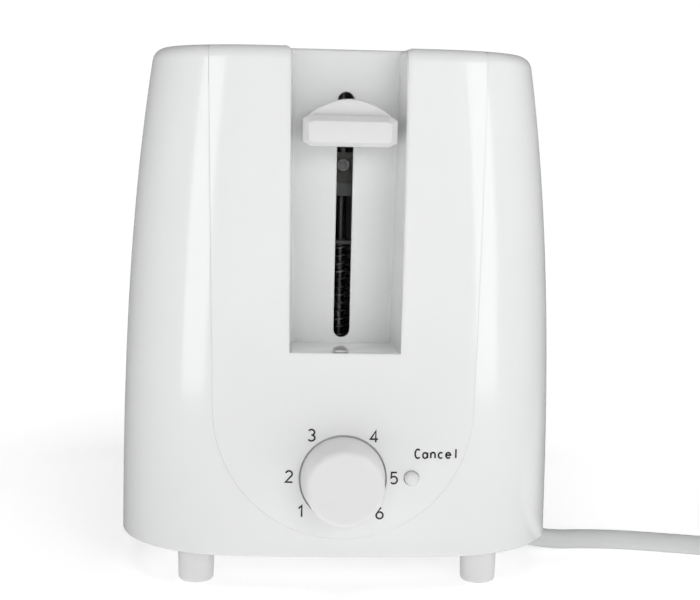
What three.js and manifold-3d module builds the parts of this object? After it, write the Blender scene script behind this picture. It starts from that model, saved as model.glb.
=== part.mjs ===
// A two-slice pop-up toaster with its controls on one end, modelled piece by piece.
// Millimetres, +Z up. Inside the toaster's own group y counts back from the front face,
// which carries the lever and the dial, and z = 0 is the surface that the feet stand on.
import * as THREE from "three";
import { mergeVertices } from "three/addons/utils/BufferGeometryUtils.js";
import Module from "manifold-3d";

const GAP = 0.3; // between pieces that touch

// Housing
const LENGTH = 258; // front face to rear face, at the bottom
const HALF_WIDTH = 79; // of the housing at its bottom edge
const HEIGHT = 190; // top of the housing above the surface
const RIM_Z = 12.8; // bottom edge of the housing
const CORNER_R = 43; // corners in plan
const FACE_BOW = 1.2; // how far the middle of each end stands out
const WALL = 2.4;
const TAPER = 9.8; // how far each wall leans in at the top
const TAPER_POWER = 2.6;
const TOP_EDGE_R = 5.5;
const PANEL_R = 45.5; // round foot of the U-shaped raised panel
const PANEL_Z = 65; // centre of that round foot
const PANEL_TOP_HALF = 48.7;
const PANEL_RISE = 0.5;
const FRONT_OFFSET = -123; // puts the middle of the whole toaster at y = 0

// Lever recess and slot
const RECESS_DEPTH = 30;
const RECESS_FLOOR_Z = 84.7;
const RECESS_HALF_FOOT = 19.4; // half its width at the floor, at the front
const RECESS_HALF_TOP = 21.4; // and at the top of the housing
const RECESS_DRAFT = 0.056; // each side wall closes in by this much per millimetre of depth
const SLOT_HALF = 2.9;
const SLOT_BOTTOM_Z = 87;
const SLOT_TOP_Z = 174.8;
const LEDGE_NOTCH = { at: [-1, 4.4], r: 2.8 }; // a drain hole in the recess floor
const TRAVEL = 70; // of the lever and the carriage

// Bread slots and toasting chamber
const BREAD_X = 23; // middle of each bread slot
const BREAD_WIDTH = 31;
const BREAD_FRONT = 76;
const BREAD_LENGTH = 138;
const FRONT_PLATE_Y = 66;
const REAR_PLATE_Y = 222;
const PLATE = 1; // sheet steel
const CHAMBER_HALF = 55;
const CHAMBER_Z = 29;
const CHAMBER_TOP = 172;
const OUTER_CARD_X = 46;
const ELEMENT = { z0: 40, z1: 160, y0: FRONT_PLATE_Y + 2, y1: REAR_PLATE_Y - 1, runs: 9 };
const CARD = 1; // thickness of a mica card
const RIBBON = { half: 0.8, thick: 0.5 };
const GUIDE = { z0: 38, z1: 166, r: 0.9, wires: 8, reach: 17 }; // wire grilles beside each slice

// Carriage
const ROD_Y = 44;
const ROD_R = 2;
const ROD_BOTTOM = 18.9;
const ROD_TOP = 180;
const SPRING_R = 3.9;
const SPRING_WIRE = 0.5;
const SPRING_TURNS = 11;
const SPRING_FOOT = 21.6;
const LOWER_LUG_Z = 120;
const UPPER_LUG_Z = 155;
const CARRIAGE_Y = 51; // front face of the bracket's back
const BRACKET_HALF = 8; // half width of its lugs, riser and strap
const STRAP_Y = 37; // front face of its strap
const WING_HALF = 38;
const WING_Z = [112, 132];
const SHEET = 1.2; // carriage steel
const RACK_TOP = 118;
const HANDLE_HALF = 16.6;
const HANDLE_Z = [155.6, 167];
const HANDLE_Y = [6, 24.5];
const HANDLE_CROWN_Z = 172.2; // top of the dome behind the handle's face
const ARM_Z = [158.8, 165.6]; // the arm inside the handle
const RIVET_Z = 148.8;

// Controls
const DIAL_Z = 41;
const DIAL_R = 14.7;
const DIAL_FACE_R = 12.5;
const DIAL_OUT = 17;
const DIAL_SHAFT_R = 3;
const BUTTON_X = 24;
const BUTTON_Z = 41.2;
const BUTTON_R = 2.3;
const BOARD_Y = 16; // front face of the circuit board
const BOARD = 1.6;
const BEHIND_BOARD = BOARD_Y + BOARD + GAP;
const MAGNET = { x: -31, y: 34, foot: 28, top: 55.4, poleR: 4, coilR: 9 };
const TERMINAL = { x: 44.5, y: 47, pitch: 6.5, top: 30 }; // its first well
const CONTACT = { x0: 24, x1: 35, foot: 28, top: 46 }; // mains contacts and the finger above them

// Base, feet and tray
const BASE_Z = 15;
const BASE = 2.4;
const FOOT_X = 50.9;
const FOOT_Y = 18;
const FOOT_R = 6.3;
const BOSS_X = 71;
const BOSS_Y = [62, 196];
const TRAY_HALF = 50;
const TRAY_Z = 20;
const TRAY_FRONT = 73;
const TRAY_WALL = 6.5;

// Cord set
const CORD_R = 3.7;
const CORD_Y = 57.5;
const OUTLET_Z = 9.4;
const OUTLET_X = 22;
const RELIEF_LENGTH = 26;
const COIL_R = 41; // middle of the turns
const COIL_X = 207.5;
const COIL_Y = 73;
const COIL_LIFT = 1.3; // thickness of the tie under the coil
const COIL_INNER = COIL_R - 2 * CORD_R;
const COIL_OUTER = COIL_R + 2 * CORD_R;
const COIL_TOP = COIL_LIFT + 4 * CORD_R;
const PLUG_R = 18.5;
const PLUG_X = COIL_X + COIL_R + CORD_R; // in line with the outer turns
const PLUG_Y = COIL_Y + 38.5; // where the cord goes in
const PLUG_LENGTH = 50;
const PIN_SPACING = 19;
const PIN_LENGTH = 19;
const PIN_R = 2.4;

const FINISH = {
  shell: { color: 0xf2f2f0, roughness: 0.18, metalness: 0 },
  white: { color: 0xededeb, roughness: 0.3, metalness: 0 },
  steel: { color: 0x9a9c9e, roughness: 0.35, metalness: 0.9 },
  darkSteel: { color: 0x6c6e70, roughness: 0.45, metalness: 0.9 },
  mica: { color: 0xb3a58a, roughness: 0.6, metalness: 0 },
  wire: { color: 0x8c857c, roughness: 0.4, metalness: 0.8 },
  board: { color: 0x8a6a3c, roughness: 0.6, metalness: 0 },
  black: { color: 0x1c1c1d, roughness: 0.5, metalness: 0 },
  copper: { color: 0xb0673a, roughness: 0.35, metalness: 0.8 },
  brass: { color: 0xc9a860, roughness: 0.3, metalness: 0.9 },
  cord: { color: 0xd8d9d8, roughness: 0.55, metalness: 0 },
  tie: { color: 0xc4c4c0, roughness: 0.9, metalness: 0 },
  blue: { color: 0x3d6ea8, roughness: 0.5, metalness: 0 },
  brown: { color: 0x6b4428, roughness: 0.5, metalness: 0 },
  green: { color: 0x8fae3a, roughness: 0.5, metalness: 0 },
};

const wasm = await Module();
wasm.setup();

// Solids

function solid(geometry) {
  const bare = geometry.index ? geometry.toNonIndexed() : geometry.clone();
  bare.deleteAttribute("normal");
  bare.deleteAttribute("uv");
  const merged = mergeVertices(bare, 1e-4);
  const vertProperties = new Float32Array(merged.attributes.position.array);
  const triVerts = new Uint32Array(merged.index.array);
  return new wasm.Manifold(new wasm.Mesh({ numProp: 3, vertProperties, triVerts }));
}

function join(first, ...rest) {
  return rest.reduce((all, piece) => all.add(piece), first);
}

function cut(body, ...tools) {
  return tools.reduce((left, tool) => left.subtract(tool), body);
}

/** A box between two limits on each axis. */
function box([x0, x1], [y0, y1], [z0, z1]) {
  const geometry = new THREE.BoxGeometry(x1 - x0, y1 - y0, z1 - z0);
  return solid(geometry.translate((x0 + x1) / 2, (y0 + y1) / 2, (z0 + z1) / 2));
}

/** A round bar along X, Y or Z; `at` holds its centre on the other two axes, in X, Y, Z order. */
function bar(axis, at, [from, to], radius, sides = 24, endRadius = radius) {
  const geometry = new THREE.CylinderGeometry(endRadius, radius, to - from, sides);
  const middle = (from + to) / 2;
  if (axis === "x") return solid(geometry.rotateZ(-Math.PI / 2).translate(middle, at[0], at[1]));
  if (axis === "y") return solid(geometry.translate(at[0], middle, at[1]));
  return solid(geometry.rotateX(Math.PI / 2).translate(at[0], at[1], middle));
}

/** An outline drawn in x and z, extruded from one y to another. */
function prismAlongY(shape, [from, to], curveSegments = 12) {
  const options = { depth: to - from, bevelEnabled: false, curveSegments };
  return solid(new THREE.ExtrudeGeometry(shape, options).rotateX(Math.PI / 2).translate(0, to, 0));
}

/** An outline drawn in y and z, extruded from one x to another. */
function prismAlongX(shape, [from, to], curveSegments = 12) {
  const options = { depth: to - from, bevelEnabled: false, curveSegments };
  const turned = new THREE.ExtrudeGeometry(shape, options).rotateX(Math.PI / 2).rotateZ(Math.PI / 2);
  return solid(turned.translate(from, 0, 0));
}

/** An outline drawn in x and y, extruded from one z to another. */
function prismAlongZ(shape, [from, to], curveSegments = 12) {
  const options = { depth: to - from, bevelEnabled: false, curveSegments };
  return solid(new THREE.ExtrudeGeometry(shape, options).translate(0, 0, from));
}

/** A solid of revolution about a line along Y; the profile is [radius, y] from axis to axis. */
function turnedAlongY(profile, x, z, segments = 32) {
  const points = profile.map(([r, y]) => new THREE.Vector2(r, y));
  return solid(new THREE.LatheGeometry(points, segments).translate(x, 0, z));
}

/** A tube of round section along a curve, with an even number of sides. */
function tube(curve, radius, sides, steps) {
  const section = new THREE.Shape().absarc(0, 0, radius, 0, 2 * Math.PI);
  const options = { steps, extrudePath: curve, curveSegments: sides / 2, bevelEnabled: false };
  return solid(new THREE.ExtrudeGeometry(section, options));
}

function roundedRectangle(x0, x1, y0, y1, r) {
  const shape = new THREE.Shape();
  shape.moveTo(x0 + r, y0);
  shape.lineTo(x1 - r, y0);
  shape.absarc(x1 - r, y0 + r, r, -Math.PI / 2, 0);
  shape.lineTo(x1, y1 - r);
  shape.absarc(x1 - r, y1 - r, r, 0, Math.PI / 2);
  shape.lineTo(x0 + r, y1);
  shape.absarc(x0 + r, y1 - r, r, Math.PI / 2, Math.PI);
  shape.lineTo(x0, y0 + r);
  shape.absarc(x0 + r, y0 + r, r, Math.PI, 1.5 * Math.PI);
  return shape;
}

// Housing

/** How far a wall of the housing leans in at height z. */
function lean(z) {
  const share = Math.min(Math.max((z - RIM_Z) / (HEIGHT - RIM_Z), 0), 1);
  return TAPER * share ** TAPER_POWER;
}

/** The housing's outline in plan at its bottom edge, moved in by `inset`. */
function planOutline(inset) {
  const w = HALF_WIDTH - inset;
  const r = CORNER_R - inset;
  const front = inset + FACE_BOW;
  const rear = LENGTH - inset - FACE_BOW;
  const shape = new THREE.Shape();
  shape.moveTo(r - w, front);
  shape.quadraticCurveTo(0, front - 2 * FACE_BOW, w - r, front);
  shape.absarc(w - r, front + r, r, -Math.PI / 2, 0);
  shape.lineTo(w, rear - r);
  shape.absarc(w - r, rear - r, r, 0, Math.PI / 2);
  shape.quadraticCurveTo(0, rear + 2 * FACE_BOW, r - w, rear);
  shape.absarc(r - w, rear - r, r, Math.PI / 2, Math.PI);
  shape.lineTo(-w, front + r);
  shape.absarc(r - w, front + r, r, Math.PI, 1.5 * Math.PI);
  return shape;
}

/** The plan outline carried up through rings, each at its height z and leaning in by `by`. */
function loft(outline, rings, curveSegments) {
  const steps = rings.length - 1;
  const geometry = new THREE.ExtrudeGeometry(outline, {
    depth: steps,
    steps,
    bevelEnabled: false,
    curveSegments,
  });
  const places = geometry.attributes.position;
  const middle = LENGTH / 2;
  for (let i = 0; i < places.count; i++) {
    const ring = rings[Math.round(places.getZ(i))];
    const x = places.getX(i) * (1 - ring.by / HALF_WIDTH);
    const y = middle + (places.getY(i) - middle) * (1 - ring.by / middle);
    places.setXYZ(i, x, y, ring.z);
  }
  return solid(geometry);
}

/** The housing's outer form, grown outwards by `out`. */
function outerForm(out = 0) {
  const rings = [];
  const straight = 9;
  const round = 4;
  const topOfWall = HEIGHT - TOP_EDGE_R;
  for (let i = 0; i <= straight; i++) {
    const z = RIM_Z + ((topOfWall - RIM_Z) * i) / straight;
    rings.push({ z, by: lean(z) - out });
  }
  for (let i = 1; i <= round; i++) {
    const angle = (i / round) * (Math.PI / 2);
    const z = topOfWall + TOP_EDGE_R * Math.sin(angle);
    rings.push({ z, by: lean(z) + TOP_EDGE_R * (1 - Math.cos(angle)) - out });
  }
  return loft(planOutline(0), rings, 5);
}

function innerForm() {
  const rings = [];
  const steps = 7;
  const top = HEIGHT - WALL;
  for (let i = 0; i <= steps; i++) {
    const z = RIM_Z - 2 + ((top - RIM_Z + 2) * i) / steps;
    rings.push({ z, by: lean(z) + (i === steps ? 2 : 0) });
  }
  return loft(planOutline(WALL), rings, 4);
}

function panelOutline() {
  const shape = new THREE.Shape();
  shape.moveTo(-PANEL_TOP_HALF, HEIGHT + 5);
  shape.lineTo(-PANEL_R, PANEL_Z);
  shape.absarc(0, PANEL_Z, PANEL_R, Math.PI, 2 * Math.PI);
  shape.lineTo(PANEL_TOP_HALF, HEIGHT + 5);
  return shape;
}

/** The lever recess, grown by `wall` at its sides, floor and back; it narrows with depth. */
function recessSpace(wall) {
  const front = -6;
  const back = RECESS_DEPTH + wall;
  const floor = RECESS_FLOOR_Z - wall;
  const geometry = new THREE.BoxGeometry(2, 1, 1);
  const places = geometry.attributes.position;
  for (let i = 0; i < places.count; i++) {
    const y = places.getY(i) < 0 ? front : back;
    const z = places.getZ(i) < 0 ? floor : HEIGHT + 5;
    const rise = (z - RECESS_FLOOR_Z) / (HEIGHT - RECESS_FLOOR_Z);
    const atFront = RECESS_HALF_FOOT + (RECESS_HALF_TOP - RECESS_HALF_FOOT) * rise;
    places.setXYZ(i, places.getX(i) * (atFront + wall - RECESS_DRAFT * y), y, z);
  }
  return solid(geometry);
}

function breadSlot(side, grow, [from, to]) {
  const x = side * BREAD_X;
  const half = BREAD_WIDTH / 2 + grow;
  const rear = BREAD_FRONT + BREAD_LENGTH + grow;
  const outline = roundedRectangle(x - half, x + half, BREAD_FRONT - grow, rear, 6 + grow);
  return prismAlongZ(outline, [from, to], 3);
}

function slotOutline(half, bottom, top) {
  const shape = new THREE.Shape();
  shape.moveTo(-half, bottom + half);
  shape.absarc(0, bottom + half, half, Math.PI, 2 * Math.PI);
  shape.lineTo(half, top - half);
  shape.absarc(0, top - half, half, 0, Math.PI);
  return shape;
}

function screwBoss(x, y) {
  return bar("z", [x, y], [BASE_Z + BASE + GAP, 44], 6, 16);
}

/** One moulding: flanks, ends and top, with the lever recess, bread slots and control holes. */
function outerShell() {
  const panel = prismAlongY(panelOutline(), [-6, 40]);
  const outside = join(outerForm(), outerForm(PANEL_RISE).intersect(panel));
  const inside = cut(innerForm(), recessSpace(WALL));
  const lips = [-1, 1].map((side) => breadSlot(side, WALL, [HEIGHT - 12, HEIGHT - 1]));
  const bosses = [-1, 1].flatMap((side) => BOSS_Y.map((y) => screwBoss(side * BOSS_X, y)));
  const trimmed = join(...bosses).intersect(outerForm());
  const body = join(cut(outside, inside), ...lips, trimmed);
  const pilots = [-1, 1].flatMap((side) =>
    BOSS_Y.map((y) => bar("z", [side * BOSS_X, y], [BASE_Z, 40], 1.7, 12)),
  );
  return cut(
    body,
    recessSpace(0),
    prismAlongY(slotOutline(SLOT_HALF, SLOT_BOTTOM_Z, SLOT_TOP_Z), [20, 40], 8),
    ...[-1, 1].map((side) => breadSlot(side, 0, [HEIGHT - 20, HEIGHT + 5])),
    bar("y", [0, DIAL_Z], [-5, 1.4], DIAL_R + 0.55, 40),
    bar("y", [0, DIAL_Z], [-5, 10], DIAL_SHAFT_R + 1, 20),
    bar("y", [BUTTON_X, BUTTON_Z], [-5, 10], BUTTON_R + GAP, 20),
    bar("z", LEDGE_NOTCH.at, [RECESS_FLOOR_Z - 6, RECESS_FLOOR_Z + 2], LEDGE_NOTCH.r, 16),
    box([-TRAY_HALF - 2, TRAY_HALF + 2], [LENGTH - 20, LENGTH + 5], [RIM_Z - 2, TRAY_Z + TRAY_WALL + 2]),
    ...pilots,
  );
}

function footPlaces() {
  const places = [];
  for (const [end, y] of [["front", FOOT_Y], ["rear", LENGTH - FOOT_Y]]) {
    for (const [hand, x] of [["left", -FOOT_X], ["right", FOOT_X]]) {
      places.push({ name: `foot_${end}_${hand}`, x, y });
    }
  }
  return places;
}

/** A flat floor inside the rim, with runners for the crumb tray. */
function basePlate() {
  const plate = prismAlongZ(planOutline(WALL + 0.6), [BASE_Z, BASE_Z + BASE], 5);
  const runners = [-1, 1].map((side) => {
    const near = side * (TRAY_HALF + 0.5);
    const far = side * (TRAY_HALF + 2.5);
    const across = [Math.min(near, far), Math.max(near, far)];
    return box(across, [TRAY_FRONT - 1, LENGTH - 24], [BASE_Z + BASE / 2, TRAY_Z + TRAY_WALL]);
  });
  const stop = box([-TRAY_HALF, TRAY_HALF], [TRAY_FRONT - 3, TRAY_FRONT - 1], [BASE_Z + 1, TRAY_Z + 4]);
  const screwHoles = [-1, 1].flatMap((side) =>
    BOSS_Y.map((y) => bar("z", [side * BOSS_X, y], [BASE_Z - 1, BASE_Z + 5], 2.1, 12)),
  );
  const footHoles = footPlaces().map(({ x, y }) => bar("z", [x, y], [BASE_Z - 1, BASE_Z + 5], 3.3, 16));
  const cordHole = bar("z", [OUTLET_X - 8, CORD_Y], [BASE_Z - 1, BASE_Z + 5], CORD_R + 0.6, 16);
  return cut(join(plate, ...runners, stop), ...screwHoles, ...footHoles, cordHole);
}

/** A post with a soft lower edge and a stub that presses into the base plate. */
function foot() {
  const top = BASE_Z - GAP;
  const profile = [
    [0, 0],
    [FOOT_R - 1.4, 0],
    [FOOT_R - 0.4, 0.5],
    [FOOT_R, 1.6],
    [FOOT_R + 0.3, top],
    [3, top],
    [3, BASE_Z + BASE],
    [0, BASE_Z + BASE],
  ];
  const points = profile.map(([r, z]) => new THREE.Vector2(r, z));
  return solid(new THREE.LatheGeometry(points, 24).rotateX(Math.PI / 2));
}

function baseScrew() {
  const shank = bar("z", [0, 0], [BASE_Z - 1, 34], 1.4, 10);
  return join(bar("z", [0, 0], [BASE_Z - 2.3, BASE_Z - GAP], 3.4, 16), shank);
}

/** An open steel tray with a grip lip outside the rear of the housing. */
function crumbTray() {
  const rear = LENGTH + 1;
  const top = TRAY_Z + TRAY_WALL;
  const outside = box([-TRAY_HALF, TRAY_HALF], [TRAY_FRONT, rear], [TRAY_Z, top]);
  const hollow = box([1 - TRAY_HALF, TRAY_HALF - 1], [TRAY_FRONT + 1, rear - 1], [TRAY_Z + 1, top + 1]);
  const lip = roundedRectangle(-TRAY_HALF - 1, TRAY_HALF + 1, RIM_Z + 1, top + 1, 2);
  const grip = roundedRectangle(-16, 16, RIM_Z + 2, RIM_Z + 6, 1.5);
  return join(
    cut(outside, hollow),
    prismAlongY(lip, [rear - 0.6, rear + 1], 3),
    prismAlongY(grip, [rear, rear + 3.9], 3),
  );
}

// Chassis and heating

/** A flat sheet that stands across the toaster, with its bread-rack slits. */
function endPlate(y, slits) {
  const half = CHAMBER_HALF - GAP;
  const plate = box([-half, half], [y, y + PLATE], [CHAMBER_Z, CHAMBER_TOP]);
  if (!slits) return plate;
  const openings = [-1, 1].map((side) => {
    const x = side * BREAD_X;
    return box([x - 2.5, x + 2.5], [y - 2, y + 3], [RACK_TOP - TRAVEL - 14, RACK_TOP + 4]);
  });
  return cut(plate, ...openings);
}

/** The front end plate carries the guide rod between two bent lugs. */
function frontEndPlate() {
  const plate = endPlate(FRONT_PLATE_Y, true);
  const across = [-9, 9];
  const sheet = [FRONT_PLATE_Y, FRONT_PLATE_Y + PLATE];
  const bottom = ROD_BOTTOM + 1.1;
  const top = ROD_TOP - 3;
  const lug = (z) => box(across, [ROD_Y - 6, FRONT_PLATE_Y + PLATE / 2], [z, z + PLATE]);
  const foot = box(across, sheet, [bottom, CHAMBER_Z + 1]);
  const head = box(across, sheet, [CHAMBER_TOP - 1, top + PLATE]);
  const hole = bar("z", [0, ROD_Y], [ROD_BOTTOM - 5, ROD_TOP + 5], ROD_R + GAP, 12);
  return cut(join(plate, foot, head, lug(bottom), lug(top)), hole);
}

function rearEndPlate() {
  const plate = endPlate(REAR_PLATE_Y, false);
  const feet = [-1, 1].map((side) => {
    const x = side * (CHAMBER_HALF - 15);
    return box([x - 6, x + 6], [REAR_PLATE_Y, REAR_PLATE_Y + PLATE], [CHAMBER_Z - 1, CHAMBER_Z + 1]);
  });
  return join(plate, ...feet);
}

/** A side reflector with its edges turned in. */
function heatShield(side) {
  const from = FRONT_PLATE_Y + PLATE + GAP;
  const to = REAR_PLATE_Y - GAP;
  const across = (near, far) => [Math.min(side * near, side * far), Math.max(side * near, side * far)];
  const wall = box(across(CHAMBER_HALF - 1, CHAMBER_HALF), [from, to], [CHAMBER_Z, CHAMBER_TOP]);
  const flange = (z) => box(across(CHAMBER_HALF - 7, CHAMBER_HALF), [from, to], [z, z + 1]);
  return join(wall, flange(CHAMBER_Z), flange(CHAMBER_TOP - 1));
}

/** A mica card with notched ends, standing along the toaster. */
function elementCard(x) {
  const card = box([x - CARD / 2, x + CARD / 2], [ELEMENT.y0, ELEMENT.y1], [ELEMENT.z0, ELEMENT.z1]);
  const notches = [];
  const pitch = (ELEMENT.z1 - ELEMENT.z0) / ELEMENT.runs;
  for (let i = 1; i < ELEMENT.runs; i++) {
    const z = ELEMENT.z0 + pitch * i;
    notches.push(box([x - 2, x + 2], [ELEMENT.y0 - 1, ELEMENT.y0 + 2], [z - 1, z + 1]));
    notches.push(box([x - 2, x + 2], [ELEMENT.y1 - 2, ELEMENT.y1 + 1], [z - 1, z + 1]));
  }
  return cut(card, ...notches);
}

/** A flat heating ribbon that runs to and fro over one face of its card. */
function elementRibbon(x, side) {
  const pitch = (ELEMENT.z1 - ELEMENT.z0) / ELEMENT.runs;
  const { half, thick } = RIBBON;
  const front = ELEMENT.y0 + 4;
  const rear = ELEMENT.y1 - 4;
  const near = x + side * (CARD / 2 + GAP);
  const far = near + side * thick;
  const across = [Math.min(near, far), Math.max(near, far)];
  const pieces = [];
  for (let i = 0; i < ELEMENT.runs; i++) {
    const z = ELEMENT.z0 + pitch * (i + 0.5);
    pieces.push(box(across, [front, rear], [z - half, z + half]));
    if (i + 1 === ELEMENT.runs) continue;
    const end = i % 2 ? front : rear - 2 * half;
    pieces.push(box(across, [end, end + 2 * half], [z - half, z + pitch + half]));
  }
  return join(...pieces);
}

/** A wire grille that keeps the bread off an element; it pivots on its lowest wire. */
function breadGuide(x) {
  const front = FRONT_PLATE_Y + 4;
  const rear = REAR_PLATE_Y - 3;
  const pieces = [GUIDE.z0, GUIDE.z1].map((z) => bar("y", [x, z], [front, rear], GUIDE.r, 6));
  for (let i = 0; i < GUIDE.wires; i++) {
    const y = front + 6 + ((rear - front - 12) * i) / (GUIDE.wires - 1);
    pieces.push(bar("z", [x, y], [GUIDE.z0, GUIDE.z1], GUIDE.r * 0.9, 6));
  }
  return join(...pieces);
}

// Carriage

/** The sliding bracket: a wide back with wings, two lugs on the rod and a front strap. */
function carriageBracket() {
  const across = [-BRACKET_HALF, BRACKET_HALF];
  const back = [CARRIAGE_Y, CARRIAGE_Y + SHEET];
  const forward = [STRAP_Y, CARRIAGE_Y + SHEET / 2];
  const wings = box([-WING_HALF, WING_HALF], back, WING_Z);
  const riser = box(across, back, [WING_Z[0], UPPER_LUG_Z + SHEET]);
  const lugs = [LOWER_LUG_Z, UPPER_LUG_Z].map((z) => box(across, forward, [z, z + SHEET]));
  const strap = box(across, [STRAP_Y, STRAP_Y + SHEET], [UPPER_LUG_Z - 16, UPPER_LUG_Z + SHEET / 2]);
  const hole = bar("z", [0, ROD_Y], [LOWER_LUG_Z - 5, UPPER_LUG_Z + 5], ROD_R + GAP, 12);
  return cut(join(wings, riser, ...lugs, strap), hole);
}

/** The steel arm from the carriage, out through the slot into the handle. */
function leverArm() {
  const footBack = STRAP_Y - GAP;
  const footFront = footBack - 1.3;
  const foot = box([-6, 6], [footFront, footBack], [RIVET_Z - 6, ARM_Z[1] + 1]);
  const tongue = box([-1.1, 1.1], [HANDLE_Y[0] + 8, footFront + 0.6], ARM_Z);
  return cut(join(foot, tongue), bar("y", [0, RIVET_Z], [footFront - 1, footBack + 1], 1.6, 12));
}

function leverRivet() {
  const armFront = STRAP_Y - GAP - 1.3;
  const head = bar("y", [0, RIVET_Z], [armFront - 1.4, armFront - GAP], 2.4, 20);
  return join(head, bar("y", [0, RIVET_Z], [armFront - 0.9, STRAP_Y - GAP], 1.3, 12));
}

/** A flat-fronted bar with a domed web behind it, sleeved over the arm. */
function leverHandle() {
  const [foot, top] = HANDLE_Z;
  const [front, rear] = HANDLE_Y;
  const webHalf = HANDLE_HALF - 1.6;
  const shoulder = top - 1.6;
  const outline = roundedRectangle(-HANDLE_HALF, HANDLE_HALF, foot, top, 1.8);
  const face = prismAlongY(outline, [front, front + 6.5], 4);
  const dome = new THREE.Shape();
  dome.moveTo(-webHalf, foot + 1.4);
  dome.lineTo(webHalf, foot + 1.4);
  dome.lineTo(webHalf, shoulder);
  dome.quadraticCurveTo(0, 2 * HANDLE_CROWN_Z - shoulder, -webHalf, shoulder);
  const web = prismAlongY(dome, [front + 5, rear], 10);
  const sleeve = box([-1.4, 1.4], [front + 7.7, rear + 5], [ARM_Z[0] - GAP, ARM_Z[1] + GAP]);
  return cut(join(face, web), sleeve);
}

class Helix extends THREE.Curve {
  constructor(radius, bottom, top, turns) {
    super();
    Object.assign(this, { radius, bottom, top, turns });
  }

  getPoint(t, target = new THREE.Vector3()) {
    const angle = 2 * Math.PI * this.turns * t;
    const z = this.bottom + (this.top - this.bottom) * t;
    return target.set(this.radius * Math.cos(angle), this.radius * Math.sin(angle), z);
  }
}

/** A compression spring round the guide rod, under the carriage. */
function returnSpring() {
  const top = LOWER_LUG_Z - GAP - SPRING_WIRE;
  const path = new Helix(SPRING_R, SPRING_FOOT + SPRING_WIRE, top, SPRING_TURNS);
  return tube(path, SPRING_WIRE, 6, SPRING_TURNS * 10);
}

/** A steel bar with cross pieces that carries the bread, hooked on a wing of the carriage. */
function breadRack(side) {
  const x = side * BREAD_X;
  const front = CARRIAGE_Y + SHEET + GAP;
  const rear = REAR_PLATE_Y - 8;
  const depth = 10;
  const crossPieces = 6;
  const pitch = 25;
  const pieces = [
    box([x - 0.7, x + 0.7], [front, rear], [RACK_TOP - depth, RACK_TOP]),
    box([x - 6, x + 6], [front, front + 1.4], [RACK_TOP - depth, RACK_TOP + 4]),
  ];
  for (let i = 0; i < crossPieces; i++) {
    const y = FRONT_PLATE_Y + 16 + i * pitch;
    pieces.push(box([x - 6.5, x + 6.5], [y, y + 6], [RACK_TOP - SHEET, RACK_TOP]));
  }
  return join(...pieces);
}

// Controls

/** A dial with a straight skirt that tapers to a slightly domed face, and a pointer rib. */
function dialKnob() {
  const skirt = 0.9;
  const profile = [
    [0, -DIAL_OUT],
    [DIAL_FACE_R - 4, -DIAL_OUT + 0.15],
    [DIAL_FACE_R - 1.4, -DIAL_OUT + 0.5],
    [DIAL_FACE_R - 0.3, -DIAL_OUT + 1.3],
    [DIAL_FACE_R, -DIAL_OUT + 2.6],
    [DIAL_R - 0.4, -3],
    [DIAL_R, -1.5],
    [DIAL_R, skirt],
    [0, skirt],
  ];
  const shaftHole = bar("y", [0, DIAL_Z], [-DIAL_OUT + 4, skirt + 1], DIAL_SHAFT_R + GAP, 20);
  return cut(turnedAlongY(profile, 0, DIAL_Z), shaftHole);
}

function dialShaft() {
  return bar("y", [0, DIAL_Z], [-DIAL_OUT + 4.4, BOARD_Y - 8.4], DIAL_SHAFT_R, 20);
}

/** A small domed cap on a stem, with a flange that keeps it behind the front. */
function cancelButton() {
  const flange = 4;
  const flangeY = 3.8;
  const stem = 1.5;
  const profile = [
    [0, -2.7],
    [BUTTON_R * 0.5, -2.5],
    [BUTTON_R * 0.85, -1.8],
    [BUTTON_R, -0.8],
    [BUTTON_R, flangeY],
    [flange, flangeY],
    [flange, flangeY + 1.4],
    [stem, flangeY + 1.4],
    [stem, BOARD_Y - 5.8],
    [0, BOARD_Y - 5.8],
  ];
  return turnedAlongY(profile, BUTTON_X, BUTTON_Z, 24);
}

/** The board stands behind the front, with a notch above the dial for the lever carriage. */
function controlBoard() {
  const across = 44;
  const [bottom, top] = [21, 68];
  const board = box([-across, across], [BOARD_Y, BOARD_Y + BOARD], [bottom, top]);
  return cut(board, box([-9, 9], [BOARD_Y - 1, BOARD_Y + BOARD + 1], [top - 8, top + 2]));
}

function timerPotentiometer() {
  const half = 8.5;
  return box([-half, half], [BOARD_Y - 8, BOARD_Y - GAP], [DIAL_Z - half, DIAL_Z + half]);
}

function cancelSwitch() {
  const half = 3;
  const across = [BUTTON_X - half, BUTTON_X + half];
  const body = box(across, [BOARD_Y - 3.6, BOARD_Y - GAP], [BUTTON_Z - half, BUTTON_Z + half]);
  return join(body, bar("y", [BUTTON_X, BUTTON_Z], [BOARD_Y - 4.5, BOARD_Y - 3], 1.7, 16));
}

/** A U-shaped iron core, its poles up, held to the board. */
function magnetCore() {
  const { x, y, foot, top, poleR } = MAGNET;
  const across = [x - 2 * poleR, x + 2 * poleR];
  const back = box(across, [BEHIND_BOARD, y + 6], [foot, foot + 3]);
  const wall = box(across, [BEHIND_BOARD, BEHIND_BOARD + 2.5], [foot, top]);
  return join(back, wall, bar("z", [x, y], [foot + 2, top], poleR, 20));
}

function magnetCoil() {
  const { x, y, foot, top, poleR, coilR } = MAGNET;
  const winding = bar("z", [x, y], [foot + 3 + GAP, top - 2], coilR, 28);
  return cut(winding, bar("z", [x, y], [foot, top], poleR + GAP, 20));
}

/** The soft iron plate on the carriage that the magnet holds down. */
function latchKeeper() {
  const under = MAGNET.top + TRAVEL + 0.4;
  const across = [MAGNET.x - 7, MAGNET.x + 7];
  const plate = box(across, [MAGNET.y - 6, CARRIAGE_Y - GAP], [under, under + 2]);
  const flange = box(across, [CARRIAGE_Y - 2, CARRIAGE_Y - GAP], [under - 6, under + 1]);
  return join(plate, flange);
}

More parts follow.
